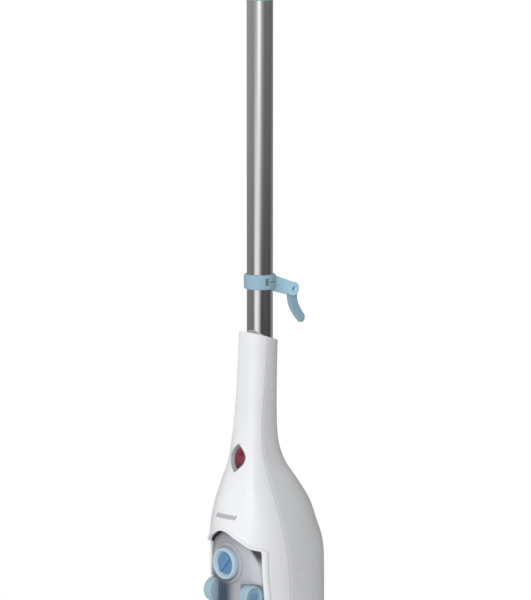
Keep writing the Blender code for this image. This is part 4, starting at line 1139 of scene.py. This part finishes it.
def microfibre_pad():
    """Thick cloth pad with a crowned edge, quilted channels below and a bound, stitched rim."""
    below = [(inset, 0.05) for inset in (84, 72, 60, 50, 40, 32, 25, 19, 14, 10, 7, 5, 4)]
    edge = [(2.6 - 2.6 * cos(a), 5 + 4.7 * sin(a)) for a in spread(-pi / 2, pi / 2, 13)[1:-1]]
    above = [(inset, 9.75) for inset in (4, 6, 10, 16, 26, 40, 60, 84)]
    rings = []
    for inset, z in below + edge + above:
        ring = []
        for i, p in enumerate(head_outline(inset + 0.4, z, 360)):
            if (inset, z) in edge:
                p += Vector((p.x, p.y, 0)).normalized() * 0.22 * sin(i * 1.7) * sin(i * 0.61 + z)
            elif (inset, z) in below:
                p.z += 0.5 * exp(-((p.x % 36 - 18) / 1.6) ** 2)
            ring.append(p)
        rings.append(ring)
    obj = finish_mesh("pad_cloth", loft(rings), FIBRE, 70)
    place(obj, "mop_head", "microfibre", "microfibre_pad")
    binding = ((3.2, 9.9), (0.9, 9.2), (0.25, 8.0), (0.25, 6.9), (0.9, 6.4), (1.4, 6.9), (1.4, 8.6))
    place(finish_mesh("pad_binding", head_loft(binding), BLUE_CLOTH), "mop_head", "microfibre")
    path = head_outline(0.12, 7.4, 720)
    stitches = [tube_along([path[i], path[i + 3]], 0.22, THREAD, resolution=1) for i in range(0, 720, 6)]
    place(merge("pad_stitches", stitches), "mop_head", "microfibre")


# ---------------------------------------------------------------- pieces kept from the frame

def keep_nodes():
    """Inner pieces keep their frame meshes and get detailed materials."""
    looks = {
        "boiler": ALUMINIUM, "trigger_rod": STEEL, "pump": BLACK, "pump_pipe": RUBBER, "steam_pipe": BRASS,
        "control_board": BOARD, "microswitch": BLACK, "tank_bay": BAY_AND_SHADOW, "rod_bush": BLACK,
        "steam_manifold": BLACK, "filler_seal": RUBBER, "tank_valve": BLUE, "trigger_spring": STEEL,
        "hook_and_loop_strip_left": GREY, "hook_and_loop_strip_right": GREY}
    for node, mat in looks.items():
        paint(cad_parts[node], mat)


# ---------------------------------------------------------------- camera, light and floor

def view_axes(azimuth, elevation):
    """Direction back to the viewer, and the viewer's right."""
    a, e = radians(azimuth), radians(elevation)
    return Vector((sin(a) * cos(e), -cos(a) * cos(e), sin(e))), Vector((cos(a), sin(a), 0))


def aimed(name, data, target, back, distance):
    """Camera or light at a distance from what it looks at."""
    obj = bpy.data.objects.new(name, data)
    bpy.context.collection.objects.link(obj)
    obj.location = target + back * distance
    obj.rotation_euler = back.to_track_quat("Z", "Y").to_euler()
    return obj


def camera():
    data = bpy.data.cameras.new("camera")
    data.lens = 200
    data.sensor_width = 36
    data.clip_end = 100
    back, right = view_axes(VIEW_AZIMUTH, VIEW_ELEVATION)
    target = Vector((0, 0, 566.7 * MM)) + right * 5.4 * MM
    distance = VIEW_HEIGHT * data.lens / data.sensor_width
    bpy.context.scene.camera = aimed("camera", data, target, back, distance)


def area_light(name, azimuth, elevation, distance, size, power):
    """Upright light panel aimed at the mop's middle, which nothing shiny mirrors."""
    data = bpy.data.lights.new(name, "AREA")
    data.shape = "RECTANGLE"
    data.size, data.size_y = size
    data.energy = power
    back, _ = view_axes(azimuth, elevation)
    obj = aimed(name, data, Vector((0, 0, 0.5)), back, distance)
    obj.visible_camera = False
    obj.visible_glossy = False


# brightness of the surround that shiny pieces mirror, by angle to the right of the main view:
# one row as seen a little below the level, one further down
UPPER_STRIPS = ((-180, 0.8), (-160, 0.6), (-145, 0.33), (-60, 0.29), (-42, 0.35), (-25, 0.55), (-16, 0.83),
                (-7, 1.15), (2, 0.98), (10, 0.68), (19, 0.42), (28, 0.29), (46, 0.155), (66, 0.18),
                (101, 0.14), (136, 0.15), (158, 0.18), (172, 0.25), (180, 0.35))
LOWER_STRIPS = ((-180, 0.8), (-165, 0.6), (-150, 0.22), (-100, 0.18), (-58, 0.165), (-50, 0.40), (-42, 0.78),
                (-34, 0.98), (-24, 0.88), (-13, 0.75), (-6, 0.44), (6, 0.18), (14.8, 0.035), (30, 0.065),
                (60, 0.08), (85, 0.06), (98, 0.05), (104, 0.10), (112, 0.17), (130, 0.25), (180, 0.35))
UPPER_SLOPE, LOWER_SLOPE = -0.0558, -0.1444


def strips(tree, stops, angle):
    """Grey ramp over the whole turn, from -180 to 180 degrees."""
    ramp = tree.nodes.new("ShaderNodeValToRGB")
    elements = ramp.color_ramp.elements
    elements.remove(elements[1])
    for k, (degrees, value) in enumerate(stops):
        place_at = (degrees + 180) / 360
        stop = elements.new(place_at) if k else elements[0]
        stop.position = place_at
        stop.color = (value, value, value, 1)
    tree.links.new(angle, ramp.inputs["Fac"])
    return ramp.outputs["Color"]


def background(tree, colour):
    node = add(tree, "ShaderNodeBackground", Strength=1.0)
    feed(tree, node.inputs["Color"], colour)
    return node.outputs[0]


def mixed(tree, share, first, second):
    node = tree.nodes.new("ShaderNodeMixShader")
    for socket, source in zip(node.inputs, (share, first, second)):
        tree.links.new(source, socket)
    return node.outputs[0]


def studio():
    """White backdrop, soft even light, and the strips that shiny pieces mirror."""
    world = bpy.data.worlds.new("studio")
    bpy.context.scene.world = world
    world.use_nodes = True
    tree = world.node_tree
    tree.nodes.clear()
    coords = tree.nodes.new("ShaderNodeTexCoord")
    split = tree.nodes.new("ShaderNodeSeparateXYZ")
    tree.links.new(coords.outputs["Generated"], split.inputs["Vector"])
    # turn of a direction to the right of the main view, as a share of the full circle
    turn = calculate(tree, "ARCTAN2", split.outputs["Y"], split.outputs["X"])
    turn = calculate(tree, "MULTIPLY_ADD", turn, 1 / tau, 1.75 - VIEW_AZIMUTH / 360)
    turn = calculate(tree, "FRACT", turn)
    height = ranged(tree, split.outputs["Z"], LOWER_SLOPE, UPPER_SLOPE, curve="LINEAR")
    mirrored_in = blend(tree, height, strips(tree, LOWER_STRIPS, turn), strips(tree, UPPER_STRIPS, turn))
    path = tree.nodes.new("ShaderNodeLightPath")
    unseen = mixed(tree, path.outputs["Is Glossy Ray"], background(tree, (AMBIENT, AMBIENT, AMBIENT, 1)),
                   background(tree, mirrored_in))
    whole = mixed(tree, path.outputs["Is Camera Ray"], unseen, background(tree, (1, 1, 1, 1)))
    out = tree.nodes.new("ShaderNodeOutputWorld")
    tree.links.new(whole, out.inputs["Surface"])
    area_light("key", VIEW_AZIMUTH - 14, 25, 2.4, (1.2, 1.6), 37.5)
    area_light("rim", VIEW_AZIMUTH + 150, 20, 2.2, (0.8, 1.6), 6)
    area_light("side", VIEW_AZIMUTH - 88, 8, 2.4, (0.8, 1.6), 5.5)


def floor_disc():
    """Pale floor that fades out towards its edge."""
    bm = bmesh.new()
    bmesh.ops.create_circle(bm, cap_ends=True, segments=128, radius=1600)
    mat, tree, shader = nodes_of("floor_look")
    shader.inputs["Base Color"].default_value = (0.93, 0.93, 0.93, 1)
    shader.inputs["Roughness"].default_value = 0.9
    length = add(tree, "ShaderNodeVectorMath", operation="LENGTH")
    tree.links.new(object_coords(tree), length.inputs[0])
    feed(tree, shader.inputs["Alpha"], ranged(tree, length.outputs["Value"], 0.5, 1.05, 1.0, 0.0))
    finish_mesh("floor", bm, mat)


# ---------------------------------------------------------------- assembly

camera()
studio()
floor_disc()
for make in (front_shell, window_lip, rear_shell, screws, lamp, steam_mark, painted_corner_shadow, water_tank,
             tank_tray, tank_painted_shade_block, filler_cap, tank_pads, pole, lower_hook, upper_hook, handle,
             handle_cap, grip, trigger, yoke, socket, neck_button, spigot, gland, head_cover, bumper,
             sole, bracket, microfibre_pad, keep_nodes, pins):
    make()
bpy.context.scene.view_settings.view_transform = "Standard"
